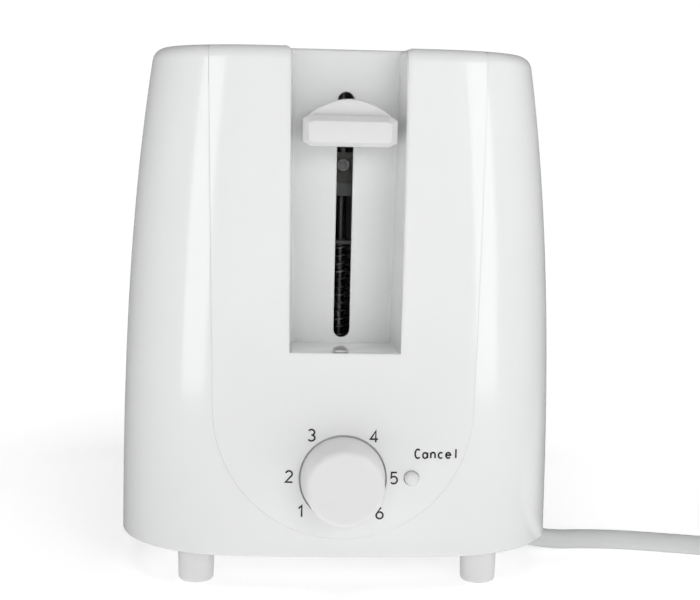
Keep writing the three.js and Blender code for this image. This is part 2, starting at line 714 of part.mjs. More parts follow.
/** The plastic finger on the carriage that closes the mains contacts. */
function contactPresser() {
  const across = [CONTACT.x0, CONTACT.x1];
  const fingerZ = CONTACT.top + TRAVEL + 1.2;
  const stem = box(across, [CARRIAGE_Y - 3, CARRIAGE_Y - GAP], [fingerZ - 3.2, fingerZ + 12.8]);
  return join(stem, box(across, [BOARD_Y + 15, CARRIAGE_Y - 2], [fingerZ, fingerZ + 3.8]));
}

/** A block of fixed contacts with two spring leaves under the carriage's finger. */
function mainsSwitch() {
  const { x0, x1, foot, top } = CONTACT;
  const leafWidth = 4;
  const rootY = BOARD_Y + 10;
  const body = box([x0 - 2, x1 + 2], [BEHIND_BOARD, BOARD_Y + 12], [foot, top]);
  const leaves = [x0, x1 - leafWidth].flatMap((x) => [
    box([x, x + leafWidth], [rootY, rootY + 17], [top, top + 0.8]),
    box([x, x + leafWidth], [rootY, rootY + 1.5], [top - 2, top + 0.5]),
  ]);
  return join(body, ...leaves);
}

/** Three wire terminals in a row on the base plate. */
function terminalBlock() {
  const { x, y, pitch, top } = TERMINAL;
  const block = box([x - 4.5, x + 2 * pitch + 4.5], [y - 7, y + 7], [BASE_Z + BASE + GAP, top]);
  const wells = [0, 1, 2].map((i) => bar("z", [x + i * pitch, y], [top - 6, top + 2], 2, 12));
  return cut(block, ...wells);
}

/** A lead on a smooth curve through its points. */
function lead(points) {
  const curve = new THREE.CatmullRomCurve3(points.map((p) => new THREE.Vector3(...p)));
  return tube(curve, 1.1, 6, 10);
}

const FIRST_WELL = [TERMINAL.x, TERMINAL.y, TERMINAL.top + 3];
const SECOND_WELL = [TERMINAL.x + TERMINAL.pitch, TERMINAL.y, TERMINAL.top + 4];
const LIVE_ROUTE = [[17, 56, 20], [30, 60, 24], [40, 58, 31], FIRST_WELL];
const NEUTRAL_ROUTE = [[14, 60, 21], [32, 63, 26], [48, 60, 34], SECOND_WELL];
const EARTH_ROUTE = [[11, 56, 20], [10, 51, 25], [16, 54, 30], [20, 60, 33]];

// Cord set

/** The block under the base plate that grips the cord. */
function cordGland() {
  const block = roundedRectangle(OUTLET_X - 16, OUTLET_X, CORD_Y - 8, CORD_Y + 8, 2.5);
  return prismAlongZ(block, [OUTLET_Z - 6, BASE_Z - GAP], 4);
}

function strainRelief() {
  const from = OUTLET_X + GAP;
  return bar("x", [CORD_Y, OUTLET_Z], [from, from + RELIEF_LENGTH], 5.6, 20, CORD_R + 0.6);
}

const LAID = CORD_R + 0.05; // a cord's centre above the surface it lies on

/** The cord from its outlet to the coil. */
const CORD_ROUTE = [
  [48.6, CORD_Y, OUTLET_Z],
  [54, CORD_Y, OUTLET_Z],
  [60, 57.6, 9.1],
  [66, 57.9, 8.2],
  [72, 58.4, 6.9],
  [78, 59.2, 5.4],
  [84, 60, 4.3],
  [90, 60.8, LAID],
  [96, 61.2, LAID],
  [103, 61.2, LAID],
  [109, 60.7, LAID],
  [115, 59.7, LAID],
  [121, 58.3, LAID],
  [127, 56.7, LAID],
  [134, 54.7, LAID],
  [141, 52.5, LAID],
  [148, 49.9, LAID],
  [154.6, 47.1, LAID],
];

function powerCord() {
  const curve = new THREE.CatmullRomCurve3(CORD_ROUTE.map((p) => new THREE.Vector3(...p)));
  return tube(curve, CORD_R, 12, 18);
}

/** The ring that holds the wound turns, two across and two high. */
function cordCoil() {
  const section = [
    [COIL_INNER, COIL_LIFT],
    [COIL_OUTER, COIL_LIFT],
    [COIL_OUTER, COIL_TOP],
    [COIL_INNER, COIL_TOP],
    [COIL_INNER, COIL_LIFT],
  ];
  const points = section.map(([r, z]) => new THREE.Vector2(r, z));
  return solid(new THREE.LatheGeometry(points, 40).rotateX(Math.PI / 2).translate(COIL_X, COIL_Y, 0));
}

/** A strap round the turns at the back of the coil. */
function cordTie() {
  const inner = COIL_Y + COIL_INNER - 2 * GAP;
  const outer = COIL_Y + COIL_OUTER + GAP;
  const thick = COIL_LIFT - GAP;
  const top = COIL_TOP + GAP;
  const across = [COIL_X - 4, COIL_X + 4];
  const strap = box(across, [inner - thick, outer + thick], [0, top + thick]);
  return cut(strap, box([COIL_X - 6, COIL_X + 6], [inner, outer], [thick, top]));
}

/** The end of the cord, from the last turn up to the plug. */
function cordTail() {
  const points = [
    [PLUG_X, PLUG_Y - 9, 16.4],
    [PLUG_X, PLUG_Y - 6, 17.9],
    [PLUG_X, PLUG_Y - 3, PLUG_R],
    [PLUG_X, PLUG_Y - 0.5, PLUG_R],
  ];
  return tube(new THREE.CatmullRomCurve3(points.map((p) => new THREE.Vector3(...p))), CORD_R, 12, 3);
}

/** A moulded plug on its side, its ribbed neck and round body turned about one axis. */
function plugBody() {
  const profile = [
    [0, PLUG_Y],
    [CORD_R + 0.8, PLUG_Y],
    [7, PLUG_Y + 16],
    [9, PLUG_Y + 18],
    [13.5, PLUG_Y + 22],
    [PLUG_R - 1, PLUG_Y + 31],
    [PLUG_R, PLUG_Y + 33],
    [PLUG_R, PLUG_Y + PLUG_LENGTH - 1],
    [PLUG_R - 1, PLUG_Y + PLUG_LENGTH],
    [0, PLUG_Y + PLUG_LENGTH],
  ];
  return turnedAlongY(profile, PLUG_X, PLUG_R, 36);
}

function plugPin(side) {
  const at = [PLUG_X + (side * PIN_SPACING) / 2, PLUG_R];
  const root = PLUG_Y + PLUG_LENGTH + GAP;
  const nose = 2;
  return join(
    bar("y", at, [root, root + PIN_LENGTH - nose], PIN_R, 16),
    bar("y", at, [root + PIN_LENGTH - nose, root + PIN_LENGTH], PIN_R, 16, PIN_R - 1),
  );
}

// The whole toaster

/** Adds one named piece to a group. */
function add(group, name, manifold, finish, position = [0, 0, 0]) {
  const { numProp, vertProperties, triVerts } = manifold.getMesh();
  const places = [];
  for (let i = 0; i < vertProperties.length; i += numProp) {
    places.push(vertProperties[i], vertProperties[i + 1], vertProperties[i + 2]);
  }
  const geometry = new THREE.BufferGeometry();
  geometry.setAttribute("position", new THREE.Float32BufferAttribute(places, 3));
  geometry.setIndex(Array.from(triVerts));
  geometry.computeVertexNormals();
  const mesh = new THREE.Mesh(geometry, new THREE.MeshStandardMaterial(FINISH[finish]));
  mesh.name = name;
  mesh.position.set(...position);
  group.add(mesh);
}

const HANDS = [["left", -1], ["right", 1]];

function housing() {
  const group = new THREE.Group();
  add(group, "outer_shell", outerShell(), "shell");
  add(group, "base_plate", basePlate(), "white");
  const post = foot();
  for (const { name, x, y } of footPlaces()) add(group, name, post, "white", [x, y, 0]);
  const screw = baseScrew();
  for (const [hand, side] of HANDS) {
    add(group, `base_screw_front_${hand}`, screw, "steel", [side * BOSS_X, BOSS_Y[0], 0]);
    add(group, `base_screw_rear_${hand}`, screw, "steel", [side * BOSS_X, BOSS_Y[1], 0]);
  }
  add(group, "crumb_tray", crumbTray(), "steel");
  return group;
}

function chassis() {
  const group = new THREE.Group();
  add(group, "front_end_plate", frontEndPlate(), "steel");
  add(group, "rear_end_plate", rearEndPlate(), "steel");
  add(group, "guide_rod", bar("z", [0, ROD_Y], [ROD_BOTTOM, ROD_TOP], ROD_R, 16), "steel");
  add(group, "element_card_centre", elementCard(0), "mica");
  add(group, "element_ribbon_centre_left", elementRibbon(0, -1), "wire");
  add(group, "element_ribbon_centre_right", elementRibbon(0, 1), "wire");
  for (const [hand, side] of HANDS) {
    add(group, `heat_shield_${hand}`, heatShield(side), "steel");
    add(group, `element_card_${hand}`, elementCard(side * OUTER_CARD_X), "mica");
    add(group, `element_ribbon_${hand}`, elementRibbon(side * OUTER_CARD_X, -side), "wire");
    add(group, `bread_guide_${hand}_outer`, breadGuide(side * (BREAD_X + GUIDE.reach)), "wire");
    add(group, `bread_guide_${hand}_inner`, breadGuide(side * (BREAD_X - GUIDE.reach)), "wire");
  }
  return group;
}

function carriage() {
  const group = new THREE.Group();
  add(group, "carriage_bracket", carriageBracket(), "steel");
  add(group, "lever_arm", leverArm(), "darkSteel");
  add(group, "lever_rivet", leverRivet(), "steel");
  add(group, "lever_handle", leverHandle(), "white");
  add(group, "latch_keeper", latchKeeper(), "darkSteel");
  add(group, "contact_presser", contactPresser(), "black");
  add(group, "return_spring", returnSpring(), "steel", [0, ROD_Y, 0]);
  for (const [hand, side] of HANDS) add(group, `bread_rack_${hand}`, breadRack(side), "steel");
  return group;
}

function controls() {
  const group = new THREE.Group();
  add(group, "dial_knob", dialKnob(), "white");
  add(group, "dial_shaft", dialShaft(), "white");
  add(group, "cancel_button", cancelButton(), "white");
  add(group, "control_board", controlBoard(), "board");
  add(group, "timer_potentiometer", timerPotentiometer(), "black");
  add(group, "cancel_switch", cancelSwitch(), "black");
  add(group, "magnet_core", magnetCore(), "darkSteel");
  add(group, "magnet_coil", magnetCoil(), "copper");
  add(group, "mains_switch", mainsSwitch(), "black");
  add(group, "terminal_block", terminalBlock(), "white");
  add(group, "live_lead", lead(LIVE_ROUTE), "brown");
  add(group, "neutral_lead", lead(NEUTRAL_ROUTE), "blue");
  add(group, "earth_lead", lead(EARTH_ROUTE), "green");
  return group;
}

function cordSet() {
  const group = new THREE.Group();
  add(group, "cord_gland", cordGland(), "white");
  add(group, "strain_relief", strainRelief(), "cord");
  add(group, "power_cord", powerCord(), "cord");
  add(group, "cord_coil", cordCoil(), "cord");
  add(group, "cord_tie", cordTie(), "tie");
  add(group, "cord_tail", cordTail(), "cord");
  add(group, "plug_body", plugBody(), "cord");
  for (const [hand, side] of HANDS) add(group, `plug_pin_${hand}`, plugPin(side), "brass");
  return group;
}

const toaster = new THREE.Group();
toaster.add(housing(), chassis(), carriage(), controls(), cordSet());
toaster.position.y = FRONT_OFFSET;

const model = new THREE.Group();
model.add(toaster);

export default model;
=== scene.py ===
"""A two-slice pop-up toaster with its controls on one end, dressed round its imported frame.

Lengths inside the classes are millimetres in the toaster's own layout: x to the right as seen
from the control end, y back from the front face, z up from the surface that the feet stand on.
"""
import logging
import math
from dataclasses import dataclass, field
from enum import Enum
from typing import ClassVar, Iterable, Sequence

import bmesh
import bpy
import numpy as np
from mathutils import Matrix, Vector
from mathutils.geometry import delaunay_2d_cdt


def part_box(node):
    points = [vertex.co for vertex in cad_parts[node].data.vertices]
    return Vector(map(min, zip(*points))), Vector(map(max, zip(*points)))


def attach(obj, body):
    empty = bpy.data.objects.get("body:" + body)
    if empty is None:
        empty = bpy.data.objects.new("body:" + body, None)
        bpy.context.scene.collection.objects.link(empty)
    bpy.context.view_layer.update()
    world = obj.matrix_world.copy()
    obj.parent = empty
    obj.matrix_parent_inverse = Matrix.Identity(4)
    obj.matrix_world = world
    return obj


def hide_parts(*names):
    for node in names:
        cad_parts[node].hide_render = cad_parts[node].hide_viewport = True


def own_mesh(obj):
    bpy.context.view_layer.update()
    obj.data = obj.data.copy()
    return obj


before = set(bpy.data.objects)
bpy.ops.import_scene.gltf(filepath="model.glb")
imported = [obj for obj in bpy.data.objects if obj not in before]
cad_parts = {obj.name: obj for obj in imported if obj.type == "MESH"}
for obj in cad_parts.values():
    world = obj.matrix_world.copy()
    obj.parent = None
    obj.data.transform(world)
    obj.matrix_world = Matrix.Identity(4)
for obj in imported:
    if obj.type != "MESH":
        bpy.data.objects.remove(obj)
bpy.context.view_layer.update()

LOG = logging.getLogger("toaster")

MM = 0.001
GAP = 0.3  # between pieces that touch
PANEL_RISE = 0.5
CRISP = 34.0  # edges over this angle, in degrees, stay crisp
HOUSING_LOW, HOUSING_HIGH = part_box("outer_shell")
FRONT = HOUSING_LOW.y + PANEL_RISE * MM  # the front face's y in the frame
HEIGHT = HOUSING_HIGH.z / MM
RIM_Z = HOUSING_LOW.z / MM
HALF_WIDTH = HOUSING_HIGH.x / MM
LENGTH = (HOUSING_HIGH.y - FRONT) / MM

Point = tuple[float, float, float]
Flat = tuple[float, float]


def placed(point: Sequence[float]) -> Vector:
    """A point of the toaster's layout, in millimetres, as a place in the frame."""
    return Vector((point[0] * MM, FRONT + point[1] * MM, point[2] * MM))


def span(node: str) -> tuple[Point, Point]:
    """The lowest and highest corner of a CAD node in the toaster's layout, in millimetres."""
    low, high = ((np.array(corner) - (0, FRONT, 0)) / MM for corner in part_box(node))
    return tuple(low.tolist()), tuple(high.tolist())


def middle(node: str, across: tuple[int, int] = (0, 1)) -> Flat:
    """A CAD node's middle on two axes of the toaster's layout, in millimetres."""
    low, high = span(node)
    a, b = across
    return (low[a] + high[a]) / 2, (low[b] + high[b]) / 2


def smoothstep(t: float) -> float:
    """A soft ramp from 0 to 1."""
    t = min(max(t, 0.0), 1.0)
    return t * t * (3 - 2 * t)


# Shader expressions ------------------------------------------------------------------------


class Wire:
    """A shader value: a node's output that the arithmetic operators extend."""

    def __init__(self, tree: bpy.types.NodeTree, socket: bpy.types.NodeSocket) -> None:
        """Keeps the tree that the value lives in, and its socket."""
        self.tree = tree
        self.socket = socket

    def _math(self, operation: str, first: object, second: object) -> "Wire":
        """Adds one Math node."""
        node = self.tree.nodes.new("ShaderNodeMath")
        node.operation = operation
        for place, value in zip(node.inputs, (first, second)):
            if isinstance(value, Wire):
                self.tree.links.new(value.socket, place)
            else:
                place.default_value = value
        return Wire(self.tree, node.outputs[0])

    def __add__(self, other: object) -> "Wire":
        """self + other."""
        return self._math("ADD", self, other)

    __radd__ = __add__

    def __mul__(self, other: object) -> "Wire":
        """self * other."""
        return self._math("MULTIPLY", self, other)

    __rmul__ = __mul__

    def __sub__(self, other: object) -> "Wire":
        """self - other."""
        return self._math("SUBTRACT", self, other)

    def __rsub__(self, other: object) -> "Wire":
        """other - self."""
        return self._math("SUBTRACT", other, self)

    def __truediv__(self, other: object) -> "Wire":
        """self / other."""
        return self._math("DIVIDE", self, other)

    def __pow__(self, other: object) -> "Wire":
        """self to a power."""
        return self._math("POWER", self, other)


class Shader:
    """One material's node tree, with a method that adds any node."""

    def __init__(self, name: str) -> None:
        """Makes an empty material with an output and a Principled shader."""
        self.material = bpy.data.materials.new(name)
        self.material.use_nodes = True
        self.tree = self.material.node_tree
        self.tree.nodes.clear()
        output = self.tree.nodes.new("ShaderNodeOutputMaterial")
        self.surface = self.tree.nodes.new("ShaderNodeBsdfPrincipled")
        self.tree.links.new(self.surface.outputs[0], output.inputs[0])
        self.place = self.add("ShaderNodeTexCoord", output="Object")

    def add(
        self, kind: str, settings: dict | None = None, output: int | str = 0, **inputs: object
    ) -> Wire:
        """Adds a node.

        Args:
            kind: The node's type name.
            settings: Properties to set before anything is linked; "stops" fills a colour ramp.
            output: The output to return.
            inputs: Values or wires by socket name, with _ for a space.

        Returns:
            The chosen output as a wire.
        """
        node = self.tree.nodes.new(kind)
        for key, value in (settings or {}).items():
            if key == "stops":
                self._fill_ramp(node.color_ramp, value)
            else:
                setattr(node, key, value)
        for key, value in inputs.items():
            self._feed(self._socket(node, key), value)
        return Wire(self.tree, node.outputs[output])

    @staticmethod
    def _socket(node: bpy.types.Node, key: str) -> bpy.types.NodeSocket:
        """The enabled input that a keyword names."""
        name = key.replace("_", " ")
        if name.startswith("in "):
            return node.inputs[int(name[3:])]
        return next(s for s in node.inputs if s.name == name and s.enabled)

    def _feed(self, socket: bpy.types.NodeSocket, value: object) -> None:
        """Links a wire to a socket, or sets the socket's own value."""
        if isinstance(value, Wire):
            self.tree.links.new(value.socket, socket)
        else:
            socket.default_value = value

    @staticmethod
    def _fill_ramp(ramp: bpy.types.ColorRamp, stops: Sequence[tuple[float, float]]) -> None:
        """Sets a grey ramp's stops from (position, value) pairs."""
        while len(ramp.elements) < len(stops):
            ramp.elements.new(0.5)
        for element, (position, value) in zip(ramp.elements, stops):
            element.position = position
            element.color = (value, value, value, 1)

    def noise(self, scale: float, detail: float = 3, stretch: Point = (1, 1, 1)) -> Wire:
        """A noise over the object's own space; scale is in waves per metre."""
        mapping = self.add("ShaderNodeMapping", Vector=self.place, Scale=stretch)
        return self.add("ShaderNodeTexNoise", Vector=mapping, Scale=scale, Detail=detail)

    def ramp(self, value: Wire, low: float, high: float) -> Wire:
        """A value spread so that low becomes 0 and high becomes 1, held between them."""
        stops = [(low, 0.0), (high, 1.0)]
        return self.add("ShaderNodeValToRGB", {"stops": stops}, Fac=value)

    def blend(self, share: Wire, first: object, second: object) -> Wire:
        """A mix of two colours."""
        settings = {"data_type": "RGBA"}
        return self.add("ShaderNodeMix", settings, 2, in_0=share, in_6=first, in_7=second)

    def bump(self, height: Wire, distance: float, strength: float = 1.0) -> None:
        """Raises the surface normal by a height, over a distance in metres."""
        made = self.add("ShaderNodeBump", Height=height, Distance=distance, Strength=strength)
        self.set(Normal=made)

    def set(self, **inputs: object) -> None:
        """Sets or links inputs of the Principled shader."""
        for key, value in inputs.items():
            self._feed(self._socket(self.surface, key), value)


def colour(value: float, tint: Point = (1, 1, 1)) -> tuple[float, float, float, float]:
    """A grey value times a tint, as a shader colour."""
    return (value * tint[0], value * tint[1], value * tint[2], 1.0)


# Finishes ----------------------------------------------------------------------------------


@dataclass(frozen=True)
class Moulded:
    """Injection-moulded plastic with a slow ripple in its gloss and a little fine grain."""

    name: str
    grey: float
    tint: Point = (1, 1, 1)
    rough: float = 0.16
    grain: float = 0.0
    coat: float = 0.0

    def make(self) -> bpy.types.Material:
        """Builds the material."""
        s = Shader(self.name)
        cloud = s.ramp(s.noise(14, 2), 0.35, 0.65)
        base = s.blend(cloud, colour(self.grey * 0.985, self.tint), colour(self.grey, self.tint))
        fleck = s.ramp(s.noise(900, 1), 0.74, 0.80)
        s.set(Base_Color=s.blend(fleck * 0.25, base, colour(self.grey * 0.9, self.tint)))
        s.set(Roughness=s.noise(55, 4) * 0.1 + (self.rough - 0.05), Coat_Weight=self.coat)
        s.set(Specular_IOR_Level=0.5, Coat_Roughness=0.04)
        if self.grain:
            s.bump(s.noise(2600, 2), self.grain * MM)
        else:
            s.bump(s.noise(38, 1), 0.012 * MM, 0.6)
        return s.material


class Grain(Enum):
    """How a sheet or wire was worked."""

    BRUSHED = (1, 1, 0.03)
    ROLLED = (1, 0.05, 1)
    DRAWN = (1, 1, 1)


@dataclass(frozen=True)
class Metal:
    """Steel or plated metal with a worked grain, dull patches and fine scratches."""

    name: str
    grey: float
    tint: Point = (1, 1, 1)
    rough: float = 0.35
    grain: Grain = Grain.BRUSHED
    spangle: float = 0.0

    def make(self) -> bpy.types.Material:
        """Builds the material."""
        s = Shader(self.name)
        streak = s.noise(1400, 3, self.grain.value)
        patch = s.ramp(s.noise(60, 4), 0.3, 0.7)
        base = s.blend(patch, colour(self.grey * 0.86, self.tint), colour(self.grey, self.tint))
        if self.spangle:
            cell = s.add("ShaderNodeTexVoronoi", output="Color", Vector=s.place, Scale=160.0)
            base = s.blend(s.add("ShaderNodeRGBToBW", Color=cell) * self.spangle, base, colour(0.9))
        s.set(Base_Color=base, Metallic=1.0)
        s.set(Roughness=streak * 0.22 + patch * 0.08 + (self.rough - 0.15))
        s.bump(streak, 0.02 * MM, 0.5)
        return s.material


@dataclass(frozen=True)
class Sheath:
    """Soft extruded vinyl with a dull skin, handling marks and a faint lengthwise grain."""

    name: str
    grey: float
    tint: Point = (1, 1, 1)

    def make(self) -> bpy.types.Material:
        """Builds the material."""
        s = Shader(self.name)
        cloud = s.ramp(s.noise(45, 4), 0.3, 0.7)
        mark = s.ramp(s.noise(420, 2), 0.70, 0.76)
        base = s.blend(cloud, colour(self.grey * 0.94, self.tint), colour(self.grey, self.tint))
        s.set(Base_Color=s.blend(mark * 0.3, base, colour(self.grey * 0.6, self.tint)))
        s.set(Roughness=cloud * 0.12 + 0.36)
        s.bump(s.noise(1500, 3), 0.03 * MM, 0.5)
        return s.material


@dataclass(frozen=True)
class Mica:
    """Pressed mica flakes with dark and silvery specks and a layered edge."""

    name: str = "mica_board"

    def make(self) -> bpy.types.Material:
        """Builds the material."""
        s = Shader(self.name)
        flake = s.add("ShaderNodeTexVoronoi", output="Color", Vector=s.place, Scale=420.0)
        tone = s.add("ShaderNodeRGBToBW", Color=flake)
        base = s.blend(tone, (0.36, 0.29, 0.19, 1), (0.62, 0.54, 0.39, 1))
        glint = s.ramp(s.noise(1100, 2), 0.66, 0.72)
        s.set(Base_Color=s.blend(glint * 0.7, base, (0.75, 0.72, 0.62, 1)))
        s.set(Roughness=tone * 0.3 + 0.35, Coat_Weight=glint * 0.5)
        s.bump(tone, 0.05 * MM, 0.5)
        return s.material


@dataclass(frozen=True)
class HeatTinted:
    """Resistance ribbon, straw to blue-grey where it has run hot."""

    name: str = "heat_tinted_ribbon"

    def make(self) -> bpy.types.Material:
        """Builds the material."""
        s = Shader(self.name)
        heat = s.ramp(s.noise(50, 3), 0.35, 0.65)
        base = s.blend(heat, (0.42, 0.33, 0.22, 1), (0.26, 0.27, 0.31, 1))
        s.set(Base_Color=base, Metallic=1.0, Roughness=heat * 0.2 + 0.35)
        s.bump(s.noise(2400, 2), 0.01 * MM, 0.5)
        return s.material


@dataclass(frozen=True)
class Phenolic:
    """Brown paper-based circuit board with a fibrous face."""

    name: str = "phenolic_board"

    def make(self) -> bpy.types.Material:
        """Builds the material."""
        s = Shader(self.name)
        fibre = s.noise(500, 5, (0.2, 1, 1))
        s.set(Base_Color=s.blend(fibre, (0.22, 0.13, 0.05, 1), (0.42, 0.28, 0.13, 1)))
        s.set(Roughness=fibre * 0.2 + 0.4)
        s.bump(fibre, 0.04 * MM, 0.6)
        return s.material


@dataclass(frozen=True)
class Winding:
    """Enamelled copper wire wound in close turns up the coil."""

    name: str = "enamelled_copper"
    turns_per_metre: float = 2200.0

    def make(self) -> bpy.types.Material:
        """Builds the material."""
        s = Shader(self.name)
        settings = {"wave_type": "BANDS", "bands_direction": "Z"}
        wave = s.add("ShaderNodeTexWave", settings, Vector=s.place, Scale=self.turns_per_metre / 20)
        # painted shade: the colour darkens in the grooves between the turns and is lighter on their
        # crowns
        base = s.blend(wave, (0.30, 0.10, 0.04, 1), (0.72, 0.31, 0.14, 1))
        s.set(Base_Color=base, Metallic=1.0, Roughness=s.noise(300) * 0.2 + 0.2)
        s.bump(wave, 0.1 * MM)
        return s.material


@dataclass(frozen=True)
class Woven:
    """A narrow woven strap: crossing threads with a little fuzz."""

    name: str
    grey: float
    threads_per_metre: float = 1500.0

    def make(self) -> bpy.types.Material:
        """Builds the material."""
        s = Shader(self.name)
        scale = self.threads_per_metre / 20
        warp = s.add("ShaderNodeTexWave", {"bands_direction": "X"}, Vector=s.place, Scale=scale)
        weft = s.add("ShaderNodeTexWave", {"bands_direction": "Z"}, Vector=s.place, Scale=scale)
        weave = warp * weft
        fuzz = s.noise(1800, 4)
        # painted shade: the colour darkens in the gaps between the crossing threads
        base = s.blend(weave, colour(self.grey * 0.62), colour(self.grey))
        s.set(Base_Color=s.blend(fuzz * 0.3, base, colour(self.grey * 0.8)))
        s.set(Roughness=fuzz * 0.1 + 0.8)
        s.bump(weave, 0.2 * MM)
        return s.material


@dataclass(frozen=True)
class Ink:
    """Pad-printed ink, almost black, thinner in places and slightly rough."""

    name: str = "printed_ink"

    def make(self) -> bpy.types.Material:
        """Builds the material."""
        s = Shader(self.name)
        wear = s.ramp(s.noise(700, 4), 0.45, 0.75)
        s.set(Base_Color=s.blend(wear, colour(0.012), colour(0.035)))
        s.set(Roughness=s.noise(1200) * 0.2 + 0.3)
        s.bump(s.noise(3000, 2), 0.01 * MM, 0.4)
        return s.material


CREAM: Point = (1.0, 1.0, 0.998)
ZINC_BLUE: Point = (0.98, 1, 1.02)
STEEL_WARM: Point = (1, 0.99, 0.98)


class Finish(Enum):
    """The finishes that the toaster uses, each with the record's slot that it stands for."""

    SHELL = (
        Moulded("gloss_white_plastic", 0.86, (0.995, 1.0, 1.0), 0.16, coat=0.7), "housing_plastic",
    )
    TRIM = (Moulded("soft_gloss_plastic", 0.79, CREAM, 0.34), "trim_plastic")
    GRIP = (Moulded("grip_plastic", 0.74, CREAM, 0.6), "trim_plastic")
    UNDERSIDE = (Moulded("base_plastic", 0.70, (1.0, 1.0, 0.995), 0.42, 0.05), "trim_plastic")
    GALVANISED = (
        Metal("galvanised_sheet", 0.62, ZINC_BLUE, 0.36, Grain.ROLLED, 0.25), "galvanised_steel",
    )
    STEEL = (Metal("plain_sheet", 0.45, (1, 0.99, 0.97), 0.32), "plain_steel")
    DULL_STEEL = (Metal("dull_dark_sheet", 0.34, (1, 0.98, 0.95), 0.5), "plain_steel")
    DULL_ZINC = (
        Metal("dull_zinc_sheet", 0.58, ZINC_BLUE, 0.5, Grain.ROLLED, 0.1), "galvanised_steel",
    )
    RIVET = (Metal("dull_rivet", 0.7, STEEL_WARM, 0.42, Grain.DRAWN), "plain_steel")
    WIRE = (Metal("drawn_wire", 0.6, STEEL_WARM, 0.4, Grain.DRAWN), "spring_steel")
    SPRING = (Metal("oiled_spring_wire", 0.8, STEEL_WARM, 0.4, Grain.DRAWN), "spring_steel")
    ROD = (Metal("satin_rod", 0.9, STEEL_WARM, 0.35, Grain.DRAWN), "plain_steel")
    NICKEL = (Metal("nickel_plate", 0.72, (1, 0.97, 0.90), 0.22, Grain.DRAWN), "nickel_brass")
    CORD = (Sheath("cord_vinyl", 0.66, (0.99, 1, 1)), "cord_sheath")
    BROWN = (Sheath("brown_vinyl", 0.20, (1.2, 0.62, 0.36)), "brown_insulation")
    BLUE = (Sheath("blue_vinyl", 0.40, (0.3, 0.62, 1.2)), "blue_insulation")
    EARTH = (Sheath("green_yellow_vinyl", 0.45, (0.9, 1.15, 0.3)), "green_yellow_insulation")
    MICA = (Mica(), "mica")
    RIBBON = (HeatTinted(), "heating_ribbon")
    BOARD = (Phenolic(), "circuit_board")
    BLACK = (Moulded("black_plastic", 0.03, (1, 1, 1), 0.4, 0.03), "black_plastic")
    TERMINAL = (Moulded("terminal_plastic", 0.7, (1, 1, 0.96), 0.4, 0.03), "terminal_plastic")
    COPPER = (Winding(), "copper_winding")
    TIE = (Woven("woven_tie", 0.62), "tie_fabric")
    INK = (Ink(), "black_plastic")

    def material(self) -> bpy.types.Material:
        """The finish's material, made once."""
        recipe = self.value[0]
        return bpy.data.materials.get(recipe.name) or recipe.make()

    @property
    def slot(self) -> str:
        """The record's material slot."""
        return self.value[1]


# Mesh building -----------------------------------------------------------------------------


class Axis(Enum):
    """The axis that a turned piece lies along, as the order of (across, across, along)."""

    X = (1, 2, 0)
    Y = (0, 2, 1)
    Z = (0, 1, 2)

    def point(self, a: float, b: float, along: float) -> Point:
        """A point from its two places across the axis and its place along it."""
        made = [0.0, 0.0, 0.0]
        for index, value in zip(self.value, (a, b, along)):
            made[index] = value
        return (made[0], made[1], made[2])


def rounded(low: Flat, high: Flat, radius: float, steps: int = 6) -> list[Flat]:
    """A rectangle with round corners, anticlockwise.

    Args:
        low: Its lowest corner.
        high: Its highest corner.
        radius: Of each corner.
        steps: Straight pieces in each corner.

    Returns:
        The outline's points.
    """
    outline = []
    for turn, (x, y) in enumerate(((high[0], low[1]), high, (low[0], high[1]), low)):
        cx = x - radius if x == high[0] else x + radius
        cy = y - radius if y == high[1] else y + radius
        for i in range(steps + 1):
            angle = (turn - 1 + i / steps) * math.pi / 2
            outline.append((cx + radius * math.cos(angle), cy + radius * math.sin(angle)))
    return outline


def ring(radius: float, centre: Flat = (0, 0), count: int = 48) -> list[Flat]:
    """A circle's points."""
    turns = [2 * math.pi * i / count for i in range(count)]
    return [(centre[0] + radius * math.cos(t), centre[1] + radius * math.sin(t)) for t in turns]


def mouth_levels(radius: float, steps: int = 5, stop: float = 80) -> list[Flat]:
    """How a cut's outline grows towards a rounded mouth.

    Args:
        radius: Of the mouth's edge.
        steps: Strips in the rounded edge.
        stop: The angle in degrees at which the edge meets the surface.

    Returns:
        (growth, depth below the surface) pairs, ending well outside the surface.
    """
    angles = [math.radians(stop) * i / steps for i in range(steps + 1)]
    levels = [(radius * (1 - math.cos(a)), radius * (1 - math.sin(a))) for a in angles]
    grow, depth = levels[-1]
    return levels + [(grow + 1.4, depth - 0.25), (grow + 1.4, -4.0)]


